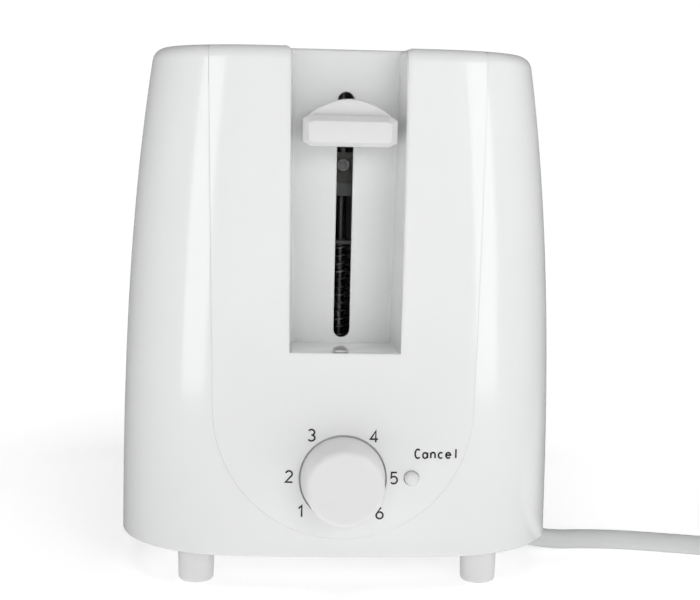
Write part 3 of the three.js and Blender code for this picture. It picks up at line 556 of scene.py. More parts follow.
@dataclass
class Form:
    """A mesh being built, in millimetres of the toaster's layout."""

    points: list[Point] = field(default_factory=list)
    faces: list[tuple[int, ...]] = field(default_factory=list)

    def add(self, points: Iterable[Point], faces: Iterable[Sequence[int]]) -> "Form":
        """Adds points and the faces that use them."""
        start = len(self.points)
        self.points.extend(tuple(p) for p in points)
        self.faces.extend(tuple(start + i for i in face) for face in faces)
        return self

    def loft(self, loops: Sequence[Sequence[Point]], closed: bool = False) -> "Form":
        """Skins a row of closed loops with equal counts.

        Args:
            loops: The loops, in order.
            closed: Whether the last loop joins the first; otherwise both ends are capped.

        Returns:
            The form itself.
        """
        count = len(loops[0])
        faces: list[tuple[int, ...]] = []
        pairs = len(loops) if closed else len(loops) - 1
        for k in range(pairs):
            a, b = k * count, ((k + 1) % len(loops)) * count
            for i in range(count):
                j = (i + 1) % count
                faces.append((a + i, a + j, b + j, b + i))
        if not closed:
            faces.append(tuple(reversed(range(count))))
            faces.append(tuple(range((len(loops) - 1) * count, len(loops) * count)))
        return self.add([p for loop in loops for p in loop], faces)

    def lathe(self, profile: Sequence[Flat], axis: Axis, at: Flat, count: int = 64) -> "Form":
        """Turns a profile about an axis.

        Args:
            profile: (radius, place along the axis) pairs; a first or last radius of 0 closes it.
            axis: The axis's direction.
            at: The axis's place on the other two axes.
            count: Faces round it.

        Returns:
            The form itself.
        """
        points: list[Point] = []
        rows: list[list[int]] = []
        for radius, along in profile:
            if radius == 0:
                rows.append([len(points)] * count)
                points.append(axis.point(at[0], at[1], along))
            else:
                rows.append(list(range(len(points), len(points) + count)))
                points += [axis.point(a, b, along) for a, b in ring(radius, at, count)]
        faces = []
        for low, high in zip(rows, rows[1:]):
            for i in range(count):
                j = (i + 1) % count
                corners = [low[i], low[j], high[j], high[i]]
                faces.append(tuple(dict.fromkeys(corners)))
        return self.add(points, [f for f in faces if len(f) > 2])

    def tube(self, path: Sequence[Point], radius: float, sides: int) -> "Form":
        """A round bar along a path.

        Args:
            path: Points of its centre line.
            radius: Of the bar.
            sides: Faces round it.

        Returns:
            The form itself.
        """
        line = [Vector(p) for p in path]
        upright = abs((line[1] - line[0]).normalized().z) >= 0.9
        normal = Vector((1, 0, 0)) if upright else Vector((0, 0, 1))
        loops = []
        for i, centre in enumerate(line):
            before, after = line[max(i - 1, 0)], line[min(i + 1, len(line) - 1)]
            along = (after - before).normalized()
            normal = (normal - along * normal.dot(along)).normalized()
            side = along.cross(normal)
            loops.append([
                tuple(centre + (side * math.cos(t) + normal * math.sin(t)) * radius)
                for t in (2 * math.pi * k / sides for k in range(sides))
            ])
        return self.loft(loops)

    def block(self, low: Point, high: Point) -> "Form":
        """A box between two corners."""
        x = (low[0], high[0])
        y = (low[1], high[1])
        z = (low[2], high[2])
        points = [(x[i & 1], y[i >> 1 & 1], z[i >> 2]) for i in range(8)]
        faces = ((0, 2, 3, 1), (4, 5, 7, 6), (0, 1, 5, 4), (2, 6, 7, 3), (0, 4, 6, 2), (1, 3, 7, 5))
        return self.add(points, faces)

    def mesh(self, name: str) -> bpy.types.Mesh:
        """The finished mesh, its faces turned outwards."""
        mesh = bpy.data.meshes.new(name)
        mesh.from_pydata([placed(p) for p in self.points], [], self.faces)
        work = bmesh.new()
        work.from_mesh(mesh)
        bmesh.ops.remove_doubles(work, verts=work.verts, dist=1e-7)
        bmesh.ops.recalc_face_normals(work, faces=work.faces)
        work.to_mesh(mesh)
        work.free()
        return mesh


@dataclass
class Dress:
    """How a made mesh becomes a finished piece."""

    name: str
    body: str
    finish: Finish
    stands_for: tuple[str, ...] = ()
    sharp: float = CRISP
    bevel: float = 0.0  # millimetres
    segments: int = 3

    def piece(self, shape: Form | bpy.types.Mesh) -> bpy.types.Object:
        """Makes the object, dresses it and lets it ride on its body."""
        mesh = shape.mesh(self.name) if isinstance(shape, Form) else shape
        made = bpy.data.objects.new(self.name, mesh)
        bpy.context.scene.collection.objects.link(made)
        mesh.materials.clear()
        mesh.materials.append(self.finish.material())
        if not mesh.has_custom_normals:
            mesh.shade_smooth()
            mesh.set_sharp_from_angle(angle=math.radians(self.sharp))
        soften(made, self.bevel, self.segments)
        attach(made, self.body)
        self.finish.slot
        if self.stands_for:
            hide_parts(*self.stands_for)
        return made


def soften(piece: bpy.types.Object, width: float, segments: int = 3) -> None:
    """Rounds a piece's crisp edges by a width in millimetres."""
    if not width:
        return
    edge = piece.modifiers.new("soft_edges", "BEVEL")
    edge.width = width * MM
    edge.segments = segments
    edge.limit_method = "ANGLE"
    edge.angle_limit = math.radians(CRISP)
    edge.use_clamp_overlap = True
    edge.harden_normals = True


def keep(node: str, finish: Finish, bevel: float = 0.15) -> None:
    """Gives a CAD node its finish and rounds its edges a little."""
    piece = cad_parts[node]
    piece.data.materials.clear()
    piece.data.materials.append(finish.material())
    piece.data.shade_smooth()
    piece.data.set_sharp_from_angle(angle=math.radians(CRISP))
    soften(piece, bevel, 2)
    finish.slot


class Join(Enum):
    """How a tool changes a solid."""

    CUT = "DIFFERENCE"
    ADD = "UNION"


def worked(
    blank: Form | bpy.types.Mesh, join: Join, *tools: Form | bpy.types.Mesh
) -> bpy.types.Mesh:
    """Cuts closed forms out of a solid, or joins them to it.

    Args:
        blank: The solid to work.
        join: What each tool does.
        tools: The forms, used in order.

    Returns:
        The finished mesh.
    """
    meshes = [t.mesh("tool") if isinstance(t, Form) else t for t in (blank, *tools)]
    objects = [bpy.data.objects.new("tool", mesh) for mesh in meshes]
    for made in objects:
        bpy.context.scene.collection.objects.link(made)
    for tool in objects[1:]:
        step = objects[0].modifiers.new("work", "BOOLEAN")
        step.object = tool
        step.operation = join.value
        step.solver = "MANIFOLD"
    ready = objects[0].evaluated_get(bpy.context.evaluated_depsgraph_get())
    result = bpy.data.meshes.new_from_object(ready)
    for made in objects:
        bpy.data.objects.remove(made)
    return result


# Housing -----------------------------------------------------------------------------------


@dataclass
class Skin:
    """The housing's outer surface: a plan outline carried up a leaning, rounded profile."""

    taper: float = 9.8
    taper_power: float = 2.6
    edge: float = 5.5
    rim: float = 0.9
    bow_radius: float = 540.6
    bow_half: float = 38.5
    corner: float = 43.6
    corner_at: Flat = (35.4, 44.86)
    seam: Flat = (1.4, 0.0714)  # depth and slope of the line where the bow meets the corner
    lean: float = 7.8  # degrees at the top of the wall
    panel_half: float = 45.5
    panel_z: float = 65.0
    panel_spread: float = 3.2 / 130
    step: float = 0.28  # half the width of the panel's edge
    fade: Flat = (2.5, 5.0)  # where the panel's rise fades out over the top's roll, and how fast

    def __post_init__(self) -> None:
        """Works out the profile's tables."""
        self.middle = LENGTH / 2
        self.corner_start = math.asin((self.bow_half - self.corner_at[0]) / self.corner)
        self.bow_length = self.bow_radius * math.asin(self.bow_half / self.bow_radius)
        arc = self.corner * (math.pi / 2 - self.corner_start)
        self.quarter = self.bow_length + arc + self.middle - self.corner_at[1]
        slope = math.radians(self.lean)
        self.roll_z = HEIGHT - self.edge * (1 - math.sin(slope))
        turns = np.radians(np.linspace(0, 90, 31))
        low_z = RIM_Z + self.rim * (1 - np.cos(turns))
        low_by = self.rim * (1 - np.sin(turns))
        wall_z = np.linspace(RIM_Z + self.rim, self.roll_z, 400)[1:]
        wall_by = self.taper * ((wall_z - RIM_Z) / (HEIGHT - RIM_Z)) ** self.taper_power
        roll = np.linspace(slope, math.pi / 2, 61)[1:]
        roll_z = self.roll_z + self.edge * (np.sin(roll) - math.sin(slope))
        roll_by = wall_by[-1] + self.edge * (math.cos(slope) - np.cos(roll))
        self.z = np.concatenate([low_z, wall_z, roll_z])
        self.by = np.concatenate([low_by, wall_by, roll_by])
        self.v = np.concatenate([[0], np.cumsum(np.hypot(np.diff(self.z), np.diff(self.by)))])
        self.roll_v = float(np.interp(self.roll_z, self.z, self.v))

    def inset(self, z: float) -> float:
        """How far the surface has leant in at a height."""
        return float(np.interp(z, self.z, self.by))

    def tilt(self, z: float) -> float:
        """How fast the surface leans in with height."""
        step = 0.0004
        z = min(max(z, RIM_Z + 2.5 * step), HEIGHT - 1.25 * step)
        return (self.inset(z + step) - self.inset(z - step)) / (2 * step)

    def plan(self, s: float) -> Flat:
        """The plan outline's point at a distance round it from the middle of the front."""
        whole = 4 * self.quarter
        s %= whole
        hand = 1 if s <= whole / 2 else -1
        s = min(s, whole - s)
        rear = s > self.quarter
        s = 2 * self.quarter - s if rear else s
        if s < self.bow_length:
            turn = s / self.bow_radius
            x, y = self.bow_radius * math.sin(turn), self.bow_radius * (1 - math.cos(turn))
        else:
            turn = self.corner_start + (s - self.bow_length) / self.corner
            if turn < math.pi / 2:
                x = self.corner_at[0] + self.corner * math.sin(turn)
                y = self.corner_at[1] - self.corner * math.cos(turn)
            else:
                x, y = HALF_WIDTH, self.corner_at[1] + self.corner * (turn - math.pi / 2)
        return hand * x, LENGTH - y if rear else y

    def round_at(self, x: float) -> float:
        """The distance round the front at which the plan outline has a given x."""
        size = abs(x)
        if size < self.bow_half:
            s = self.bow_radius * math.asin(size / self.bow_radius)
        else:
            turn = math.asin(min((size - self.corner_at[0]) / self.corner, 1.0))
            s = self.bow_length + self.corner * (turn - self.corner_start)
        return math.copysign(s, x)

    def scaled(self, flat: Flat, by: float) -> Flat:
        """A plan point drawn in towards the middle."""
        y = self.middle + (flat[1] - self.middle) * (1 - by / self.middle)
        return flat[0] * (1 - by / HALF_WIDTH), y

    def measure(self, p: Sequence[float]) -> tuple[float, Vector]:
        """How far a point stands out of the plain surface, and the surface's normal there."""
        by = self.inset(p[2])
        x = abs(p[0]) / (1 - by / HALF_WIDTH)
        y = self.middle + (p[1] - self.middle) / (1 - by / self.middle)
        rear = y > self.middle
        y = LENGTH - y if rear else y
        if x < self.bow_half - (y - self.seam[0]) * self.seam[1]:
            away = Vector((x, y - self.bow_radius))
            out = away.length - self.bow_radius
        elif y < self.corner_at[1]:
            away = Vector((x - self.corner_at[0], y - self.corner_at[1]))
            out = away.length - self.corner
        else:
            away = Vector((1, 0))
            out = x - HALF_WIDTH
        away.normalize()
        rise = self.tilt(p[2])
        side = math.copysign(away.x, p[0])
        normal = Vector((side, -away.y if rear else away.y, rise)).normalized()
        return out * normal.xy.length, normal

    def inside_panel(self, x: float, z: float) -> float:
        """How far a place on the front lies inside the raised panel's edge."""
        if z < self.panel_z:
            return self.panel_half - math.hypot(x, z - self.panel_z)
        return self.panel_half + (z - self.panel_z) * self.panel_spread - abs(x)

    def raised(self, x: float, z: float) -> float:
        """How far the panel stands out at a place on the front."""
        past = float(np.interp(z, self.z, self.v)) - self.roll_v - self.fade[0]
        fade = 1 - smoothstep(past / self.fade[1])
        edge = (self.inside_panel(x, z) + self.step) / (2 * self.step)
        return PANEL_RISE * fade * float(np.interp(edge, (0, 0.5, 1), (0, -0.2, 1)))

    def front(self, x: float, z: float, out: float = 0.0) -> tuple[Point, Vector]:
        """A point of the front, with the panel's rise, and the normal there."""
        by = self.inset(z)
        across = x / (1 - by / HALF_WIDTH)
        flat = self.scaled(self.plan(self.round_at(across)), by)
        _, normal = self.measure((flat[0], flat[1], z))
        reach = self.raised(x, z) + out
        return (x, flat[1] + normal.y * reach, z + normal.z * reach), normal

    def rows(self) -> list[float]:
        """Distances up the profile at which the mesh has a row."""
        low = self.rim * math.pi / 2
        wall = np.linspace(low, self.roll_v, 56)
        roll = np.linspace(self.roll_v, self.v[-1], 11)[1:]
        return [*np.linspace(0, low, 5)[:-1], *wall, *roll]

    def at(self, s: float, v: float, out: float = 0.0) -> Point:
        """The surface's point at a distance round it and a distance up it."""
        z, by = float(np.interp(v, self.v, self.z)), float(np.interp(v, self.v, self.by))
        x, y = self.scaled(self.plan(s), by)
        if out:
            _, normal = self.measure((x, y, z))
            return (x + normal.x * out, y + normal.y * out, z + normal.z * out)
        return (x, y, z)


@dataclass
class Housing:
    """The one-piece outer moulding with its recess, slots and holes."""

    skin: Skin
    wall: float = 2.4
    recess_depth: float = 30.0
    recess_floor: float = 84.7
    recess_corner: float = 1.2
    slot_half: float = 2.9
    slot_z: Flat = (86.5, 174.9)
    slot_shift: float = 0.3
    notch: Flat = (-1.0, 6.2)
    notch_r: float = 2.4
    notch_deep: float = 0.5
    dial_well: float = 15.25
    button_hole: float = 2.6
    bread_x: float = 23.0
    bread_half: float = 15.5
    bread_y: Flat = (76.0, 214.0)
    bread_corner: float = 6.0
    patch: float = 66.0
    pitch: float = 3.0
    clear: float = 0.9  # between the panel's edge and the rest of the mesh
    near: float = 0.6  # a point this close to the true form takes its normal
    facing: float = 0.6  # if its face looks the same way within this cosine
    tipped: float = 1.2  # how far the panel's edge leans outwards

    def recess_half(self, y: float, z: float) -> float:
        """Half the recess's width at a depth and a height."""
        return 19.3 + 1.3 * (z - 85) / 105 - 0.045 * y

    def recess_round(self, z: float) -> float:
        """The radius of the recess's front edges at a height."""
        return 0.6 + 1.5 * (z - 85) / 105

    def panel_line(self, out: float) -> list[Flat]:
        """The raised panel's edge as (distance round, distance up), moved outwards."""
        skin = self.skin
        places = []
        top = float(np.interp(skin.v[-1] - 0.9, skin.v, skin.z))
        for z in np.linspace(top, skin.panel_z, 60):
            places.append((-(skin.panel_half + out + (z - skin.panel_z) * skin.panel_spread), z))
        for turn in np.radians(np.linspace(180, 360, 121)[1:-1]):
            radius = skin.panel_half + out
            places.append((radius * math.cos(turn), skin.panel_z + radius * math.sin(turn)))
        places += [(-x, z) for x, z in reversed(places[:60])]
        line = []
        for x, z in places:
            across = x / (1 - skin.inset(z) / HALF_WIDTH)
            line.append((skin.round_at(across), float(np.interp(z, skin.z, skin.v))))
        return line

    def front_columns(self) -> np.ndarray:
        """Distances round the front at which the patch has a column."""
        return np.linspace(-self.patch, self.patch, round(2 * self.patch / self.pitch) + 1)

    def front_patch(self) -> Form:
        """The front with the raised panel's edge drawn into its mesh."""
        skin = self.skin
        rows, columns = skin.rows(), self.front_columns()
        points: list[Flat] = []
        edges: list[tuple[int, int]] = []
        for out in (-skin.step, 0, skin.step):
            line = self.panel_line(out)
            edges += [(len(points) + i, len(points) + i + 1) for i in range(len(line) - 1)]
            points += line
        drawn = np.array(points)
        for j, v in enumerate(rows):
            for i, s in enumerate(columns):
                border = i in (0, len(columns) - 1) or j in (0, len(rows) - 1)
                near = np.min(np.hypot(drawn[:, 0] - s, drawn[:, 1] - v))
                if border or near > self.clear:
                    points.append((float(s), float(v)))
        flat, _, faces, *_ = delaunay_2d_cdt([Vector(p) for p in points], edges, [], 0, 1e-5)
        shape = Form()
        for s, v in flat:
            z, by = float(np.interp(v, skin.v, skin.z)), float(np.interp(v, skin.v, skin.by))
            x = skin.plan(s)[0] * (1 - by / HALF_WIDTH)
            shape.points.append(skin.at(s, v, skin.raised(x, z)))
        shape.faces = [tuple(f) for f in faces]
        return shape

    def outside(self) -> bpy.types.Mesh:
        """The closed outer form."""
        skin = self.skin
        rows = skin.rows()
        whole = 4 * skin.quarter
        count = round((whole - 2 * self.patch) / self.pitch)
        columns = np.linspace(self.patch, whole - self.patch, count + 1)
        shape = self.front_patch()
        grid = [skin.at(s, v) for v in rows for s in columns]
        wide = count + 1
        quads = []
        for j in range(len(rows) - 1):
            for i in range(count):
                a = j * wide + i
                quads.append((a, a + 1, a + 1 + wide, a + wide))
        shape.add(grid, quads)
        around = [*self.front_columns()[:-1], *columns[:-1]]
        for v in (rows[0], rows[-1]):
            shape.add([skin.at(s, v) for s in around], [tuple(range(len(around)))])
        return shape.mesh("outside")

    def cavity(self) -> bpy.types.Mesh:
        """The space inside, clear of the recess's walls and the bread slots' lips."""
        skin = self.skin
        top = HEIGHT - self.wall
        around = np.linspace(0, 4 * skin.quarter, 181)[:-1]
        loops = []
        for z in (10, 14, *np.linspace(24, top - 2, 14), top):
            by = skin.inset(min(z, HEIGHT - skin.edge)) + self.wall + (2 if z == top else 0)
            loops.append([(*skin.scaled(skin.plan(s), by), z) for s in around])
        tools = [self.recess_body(self.wall)]
        tools += [self.bread_slot(side, self.wall, (HEIGHT - 12, HEIGHT + 5)) for side in (-1, 1)]
        return worked(Form().loft(loops), Join.CUT, *tools)

    def recess_body(self, grow: float) -> Form:
        """The recess's plain space, open to the front and the top."""
        loops = []
        for z in (self.recess_floor - grow, HEIGHT + 6):
            back = self.recess_depth + grow
            half = self.recess_half(back, z) + grow
            front = self.recess_half(-6, z) + grow
            loop = [(-front, -6.0), (front, -6.0)]
            corner = self.recess_corner + grow
            for turn in np.radians(np.linspace(0, 90, 7)):
                x = half - corner + corner * math.cos(turn)
                loop.append((x, back - corner + corner * math.sin(turn)))
            loop += [(-x, y) for x, y in reversed(loop[2:])]
            loops.append([(x, y, z) for x, y in loop])
        return Form().loft(loops)

    def recess_stations(self) -> list[tuple[Vector, Vector, Vector]]:
        """Places round half of the recess's mouth: point, surface normal and outward growth."""
        skin, corner = self.skin, self.recess_corner
        stations = []
        low = self.recess_floor

        def on_front(x: float, z: float, grow: Vector) -> None:
            """Adds a place on the front."""
            point, normal = skin.front(x, z)
            stations.append((Vector(point), normal, grow))

        half = self.recess_half(0, low)
        for x in np.linspace(0, half - corner, 8)[:-1]:
            on_front(x, low, Vector((0, 0, -1)))
        for turn in np.radians(np.linspace(-90, 0, 7)):
            grow = Vector((math.cos(turn), 0, math.sin(turn)))
            place = Vector((half - corner + corner * grow.x, low + corner * (1 + grow.z)))
            on_front(place.x, place.y, grow)
        up_roll = np.linspace(skin.roll_v, skin.v[-1], 14)[1:]
        roll = [float(np.interp(v, skin.v, skin.z)) for v in up_roll]
        for z in [*np.linspace(low + 2 * corner, skin.roll_z, 30), *roll]:
            depth = skin.front(20, z)[0][1]
            on_front(self.recess_half(depth, z), z, Vector((1, 0, 0)))
        start = stations[-1][0].y
        up = Vector((0, 0, 1))
        for y in np.linspace(start, self.recess_depth - corner, 8)[1:-1]:
            place = Vector((self.recess_half(y, HEIGHT), y, HEIGHT))
            stations.append((place, up, Vector((1, 0, 0))))
        end = self.recess_half(self.recess_depth, HEIGHT) - corner
        for turn in np.radians(np.linspace(0, 90, 9)):
            away = Vector((math.cos(turn), math.sin(turn), 0))
            centre = Vector((end, self.recess_depth - corner, HEIGHT))
            stations.append((centre + away * corner, up, away))
        for x in np.linspace(end, 0, 6)[1:]:
            stations.append((Vector((x, self.recess_depth, HEIGHT)), up, Vector((0, 1, 0))))
        return stations

    def recess_mouth(self) -> Form:
        """The ring that rounds the recess's edges where they meet the front and the top."""
        half = self.recess_stations()
        flip = Matrix.Diagonal((-1, 1, 1))
        stations = half + [tuple(flip @ part for part in s) for s in reversed(half[1:-1])]
        loops = []
        for point, normal, grow in stations:
            levels = mouth_levels(self.recess_round(point.z))
            inner = 0.9 * self.recess_corner
            section = [point + grow * g - normal * depth for g, depth in levels]
            section.append(point - grow * inner + normal * 4)
            section.append(point - grow * inner - normal * levels[0][1])
            loops.append([tuple(p) for p in section])
        return Form().loft(loops, closed=True)

    def bread_slot(self, side: int, grow: float, z: Flat) -> Form:
        """The plain space of a bread slot."""
        outline = self.bread_outline(side, grow)
        return Form().loft([[(x, y, level) for x, y in outline] for level in z])

    def bread_outline(self, side: int, grow: float) -> list[Flat]:
        """A bread slot's outline, grown."""
        x = side * self.bread_x
        low = (x - self.bread_half - grow, self.bread_y[0] - grow)
        high = (x + self.bread_half + grow, self.bread_y[1] + grow)
        return rounded(low, high, self.bread_corner + grow, 8)

    def bread_mouth(self, side: int) -> Form:
        """A bread slot with a rounded edge."""
        levels = [(0, 14.5), *mouth_levels(2.0)]
        loops = []
        for grow, depth in levels:
            loops.append([(x, y, HEIGHT - depth) for x, y in self.bread_outline(side, grow)])
        return Form().loft(loops)

    def lever_slot(self) -> Form:
        """The slot through the recess's back, its edge just broken."""
        low, high = self.slot_z
        x, back, broken = self.slot_shift, self.recess_depth, 0.3
        loops = []
        for y, grow in ((back + 10, 0), (back + 0.35, 0), (back, broken), (back - 1.4, broken)):
            half = self.slot_half + grow
            outline = rounded((x - half, low - grow), (x + half, high + grow), half, 10)
            loops.append([(x, y, z) for x, z in outline])
        return Form().loft(loops)

    def round_hole(self, at: Flat, radius: float, back: float) -> Form:
        """A round hole in the front with a softly broken edge."""
        face = self.skin.front(at[0] + radius * 0.5, at[1])[0][1]
        edge = ((0, 0.35), (0.1, 0.12), (0.35, -0.02), (0.9, -0.15))
        profile = [(0, back), (radius, back), *((radius + r, face + y) for r, y in edge)]
        profile += [(radius + edge[-1][0], -5), (0, -5)]
        return Form().lathe(profile, Axis.Y, at, 96)

    def cutters(self) -> list[Form]:
        """Everything that is cut out of the shell, in order."""
        low, high, r = self.recess_floor - self.notch_deep, self.recess_floor + 2, self.notch_r
        notch = Form().lathe([(0, low), (r, low), (r, high), (0, high)], Axis.Z, self.notch, 40)
        shaft = Form().lathe([(0, 10), (4, 10), (4, -1), (0, -1)], Axis.Y, (0, Dial.height), 32)
        tray = Form().block((-52, LENGTH - 20, RIM_Z - 2), (52, LENGTH + 5, 28.5))
        return [
            self.recess_body(0), self.recess_mouth(), self.lever_slot(), notch,
            self.bread_mouth(-1), self.bread_mouth(1),
            self.round_hole((0, Dial.height), self.dial_well, 1.4), shaft,
            self.round_hole(CancelButton.at, self.button_hole, 10), tray,
        ]

    def build(self) -> bpy.types.Object:
        """Makes the moulding."""
        mesh = worked(self.outside(), Join.CUT, self.cavity(), *self.cutters())
        self.shade(mesh)
        return Dress("housing_moulding", "housing", Finish.SHELL, ("outer_shell",)).piece(mesh)

    def shade(self, mesh: bpy.types.Mesh) -> None:
        """Gives the outer surface the true form's normals, and the rest its own."""
        mesh.shade_smooth()
        mesh.set_sharp_from_angle(angle=math.radians(CRISP))
        normals = [Vector(n.vector) for n in mesh.corner_normals]
        known: dict[int, tuple[float, Vector]] = {}
        for face in mesh.polygons:
            for corner in face.loop_indices:
                vertex = mesh.loops[corner].vertex_index
                if vertex not in known:
                    p = mesh.vertices[vertex].co
                    local = (p.x / MM, (p.y - FRONT) / MM, p.z / MM)
                    known[vertex] = self.true_normal(local)
                out, normal = known[vertex]
                if abs(out) < self.near and face.normal.dot(normal) > self.facing:
                    normals[corner] = normal
        mesh.normals_split_custom_set(normals)

    def true_normal(self, p: Point) -> tuple[float, Vector]:
        """How far a point lies from the finished surface, and the normal there."""
        skin = self.skin
        if p[2] > HEIGHT - 0.001:
            return 0.0, Vector((0, 0, 1))
        out, normal = skin.measure(p)
        if p[1] > 60:
            return out, normal
        x, z = p[0] - normal.x * out, p[2] - normal.z * out
        rise = skin.raised(x, z)
        edge = skin.inside_panel(x, z)
        if abs(edge) < 0.15 and abs(rise) > 0.01:
            down = p[2] - skin.panel_z if p[2] < skin.panel_z else 0
            away = Vector((p[0], 0, down)).normalized()
            normal = (normal + away * self.tipped).normalized()
        return out - rise, normal


# Controls ----------------------------------------------------------------------------------


@dataclass
class Dial:
    """The browning knob, a turned cap with a soft skirt and a small pointer."""

    height: float = 41.0
    out: float = 17.7
    skirt: float = 14.7
    pointer_turn: float = -129.0  # degrees clockwise from the top

    def profile(self) -> list[Flat]:
        """The knob's turned profile as (radius, depth)."""
        face, edge = -self.out, 2.05
        front = [(0, face), (4, face + 0.03), (8, face + 0.12), (11.0, face + 0.28)]
        for turn in np.radians(np.linspace(12, 86, 9)):
            front.append((11.35 + edge * math.sin(turn), face + 2.3 - edge * math.cos(turn)))
        side = [(13.5, -13.6), (13.65, -11), (13.95, -7.5), (14.25, -4.6), (14.45, -3.1)]
        back = [(14.62, -2.2), (self.skirt, -1.5), (self.skirt, 0.6), (14.4, 0.9)]
        return front + side + back + [(3.4, 0.9), (3.4, -13), (0, -13)]

    def build(self) -> list[bpy.types.Object]:
        """Makes the knob and its pointer."""
        knob = Dress("dial_cap", "dial", Finish.TRIM, ("dial_knob",), 40)
        cap = knob.piece(Form().lathe(self.profile(), Axis.Y, (0, self.height), 128))
        turn = math.radians(self.pointer_turn)
        way = Vector((math.sin(turn), math.cos(turn)))
        side = Vector((way.y, -way.x)) * 0.45
        loops = []
        for depth in (-self.out + 0.5, -self.out - 0.04):
            inner = [(way * 7.4 - side, 0), (way * 7.4 + side, 0)]
            outer = [(way * 10 + side, 0.2), (way * 10 - side, 0.2)]
            loops.append([(p.x, depth + sunk, p.y + self.height) for p, sunk in inner + outer])
        mark = Dress("dial_pointer", "dial", Finish.TRIM, bevel=0.15)
        keep("dial_shaft", Finish.STEEL)
        return [cap, mark.piece(Form().loft(loops))]


@dataclass
class CancelButton:
    """The small round button above and to the right of the dial."""

    at: Flat = (24.0, 41.2)

    def build(self) -> bpy.types.Object:
        """Makes the button."""
        end = span("cancel_button")[1][1]
        front = [(0, -2.7), (0.8, -2.64), (1.4, -2.44), (1.9, -2.05), (2.25, -1.45), (2.42, -0.8)]
        back = [(2.5, -0.2), (2.5, 0.4), (2.3, 0.8), (2.3, 4.0), (1.6, 4.4), (1.6, end), (0, end)]
        dress = Dress("cancel_cap", "cancel", Finish.TRIM, ("cancel_button",), 40)
        return dress.piece(Form().lathe(front + back, Axis.Y, self.at, 64))


@dataclass
class Lettering:
    """Printed figures round the dial and the word over the button, in plain single strokes."""

    skin: Skin
    stroke: float = 0.6
    tall: float = 3.95
    places: tuple[tuple[str, float, float], ...] = (
        ("1", -14.3, 29.4), ("2", -18.7, 41.6), ("3", -11.1, 56.2),
        ("4", 10.6, 55.9), ("5", 17.8, 41.3), ("6", 13.1, 28.9),
    )
    word: str = "Cancel"
    word_at: Flat = (32.7, 48.3)
    word_tall: float = 3.15
    pitch: float = 2.7

    @staticmethod
    def arc(centre: Flat, size: Flat, turns: Flat, steps: int = 18) -> list[Flat]:
        """Part of an ellipse; turns are in degrees from +x, anticlockwise."""
        angles = np.radians(np.linspace(*turns, steps))
        (x, y), (wide, tall) = centre, size
        return [(x + wide * math.cos(a), y + tall * math.sin(a)) for a in angles]

    def strokes(self, sign: str) -> list[list[Flat]]:
        """A sign's strokes in a box one unit high."""
        arc = self.arc
        signs = {
            "1": [[(-0.22, 0.74), (0.06, 1.0), (0.06, 0.0)]],
            "2": [[*arc((0, 0.73), (0.28, 0.27), (165, -32)), (-0.29, 0.0), (0.31, 0.0)]],
            "3": [
                arc((-0.02, 0.75), (0.27, 0.25), (150, -90)),
                arc((-0.02, 0.26), (0.3, 0.26), (90, -150)),
            ],
            "4": [[(0.14, 0.0), (0.14, 1.0), (-0.32, 0.27), (0.33, 0.27)]],
            "5": [[
                (0.26, 1.0), (-0.2, 1.0), (-0.25, 0.52),
                *arc((-0.01, 0.32), (0.31, 0.32), (128, -140)),
            ]],
            "6": [
                arc((0, 0.3), (0.3, 0.3), (0, 360), 30),
                [(-0.28, 0.38), (-0.12, 0.74), (0.12, 1.0)],
            ],
            "C": [arc((0.02, 0.5), (0.3, 0.5), (48, 312), 26)],
            "a": [arc((-0.02, 0.31), (0.25, 0.31), (0, 360), 26), [(0.25, 0.64), (0.25, 0.0)]],
            "n": [
                [(-0.24, 0.64), (-0.24, 0.0)],
                [*arc((0, 0.38), (0.24, 0.26), (180, 0)), (0.24, 0.0)],
            ],
            "c": [arc((0.02, 0.31), (0.26, 0.31), (50, 310), 24)],
            "e": [[(-0.24, 0.33), *arc((0, 0.31), (0.26, 0.31), (4, 318), 24)]],
            "l": [[(0.0, 1.0), (0.0, 0.0)]],
        }
        return signs[sign]

    def slab(self, line: Sequence[Flat], shape: Form) -> None:
        """Adds one stroke as a thin closed slab on the front."""
        half = self.stroke / 2
        points = [Vector(p) for p in line]
        closed = (points[0] - points[-1]).length < 0.01
        left, right = [], []
        for i, p in enumerate(points):
            before = points[i - 1] if i else (points[-2] if closed else p)
            after = points[i + 1] if i < len(points) - 1 else (points[1] if closed else p)
            first, second = p - before, after - p
            first = first.normalized() if first.length else second.normalized()
            second = second.normalized() if second.length else first
            way = (first + second).normalized()
            side = Vector((-way.y, way.x)) * half / max(way.dot(first), 0.5)
            left.append(p + side)
            right.append(p - side)
        front, back = -0.035, 0.08
        rows = []
        for a, b in zip(left, right):
            corners = ((a, front), (b, front), (b, back), (a, back))
            rows.append([self.skin.front(q.x, q.y, -depth)[0] for q, depth in corners])
        shape.loft(rows)

    def sign(self, sign: str, at: Flat, tall: float, shape: Form) -> None:
        """Adds one sign, standing on a place."""
        for line in self.strokes(sign):
            self.slab([(at[0] + x * tall, at[1] + z * tall) for x, z in line], shape)

    def build(self) -> list[bpy.types.Object]:
        """Makes the figures and the word."""
        figures, word = Form(), Form()
        for sign, x, z in self.places:
            self.sign(sign, (x, z - self.tall / 2), self.tall, figures)
        for i, sign in enumerate(self.word):
            x = self.word_at[0] + (i - (len(self.word) - 1) / 2) * self.pitch
            self.sign(sign, (x, self.word_at[1]), self.word_tall, word)
        names = (("dial_numbers", figures), ("cancel_word", word))
        return [Dress(name, "housing", Finish.INK).piece(shape) for name, shape in names]


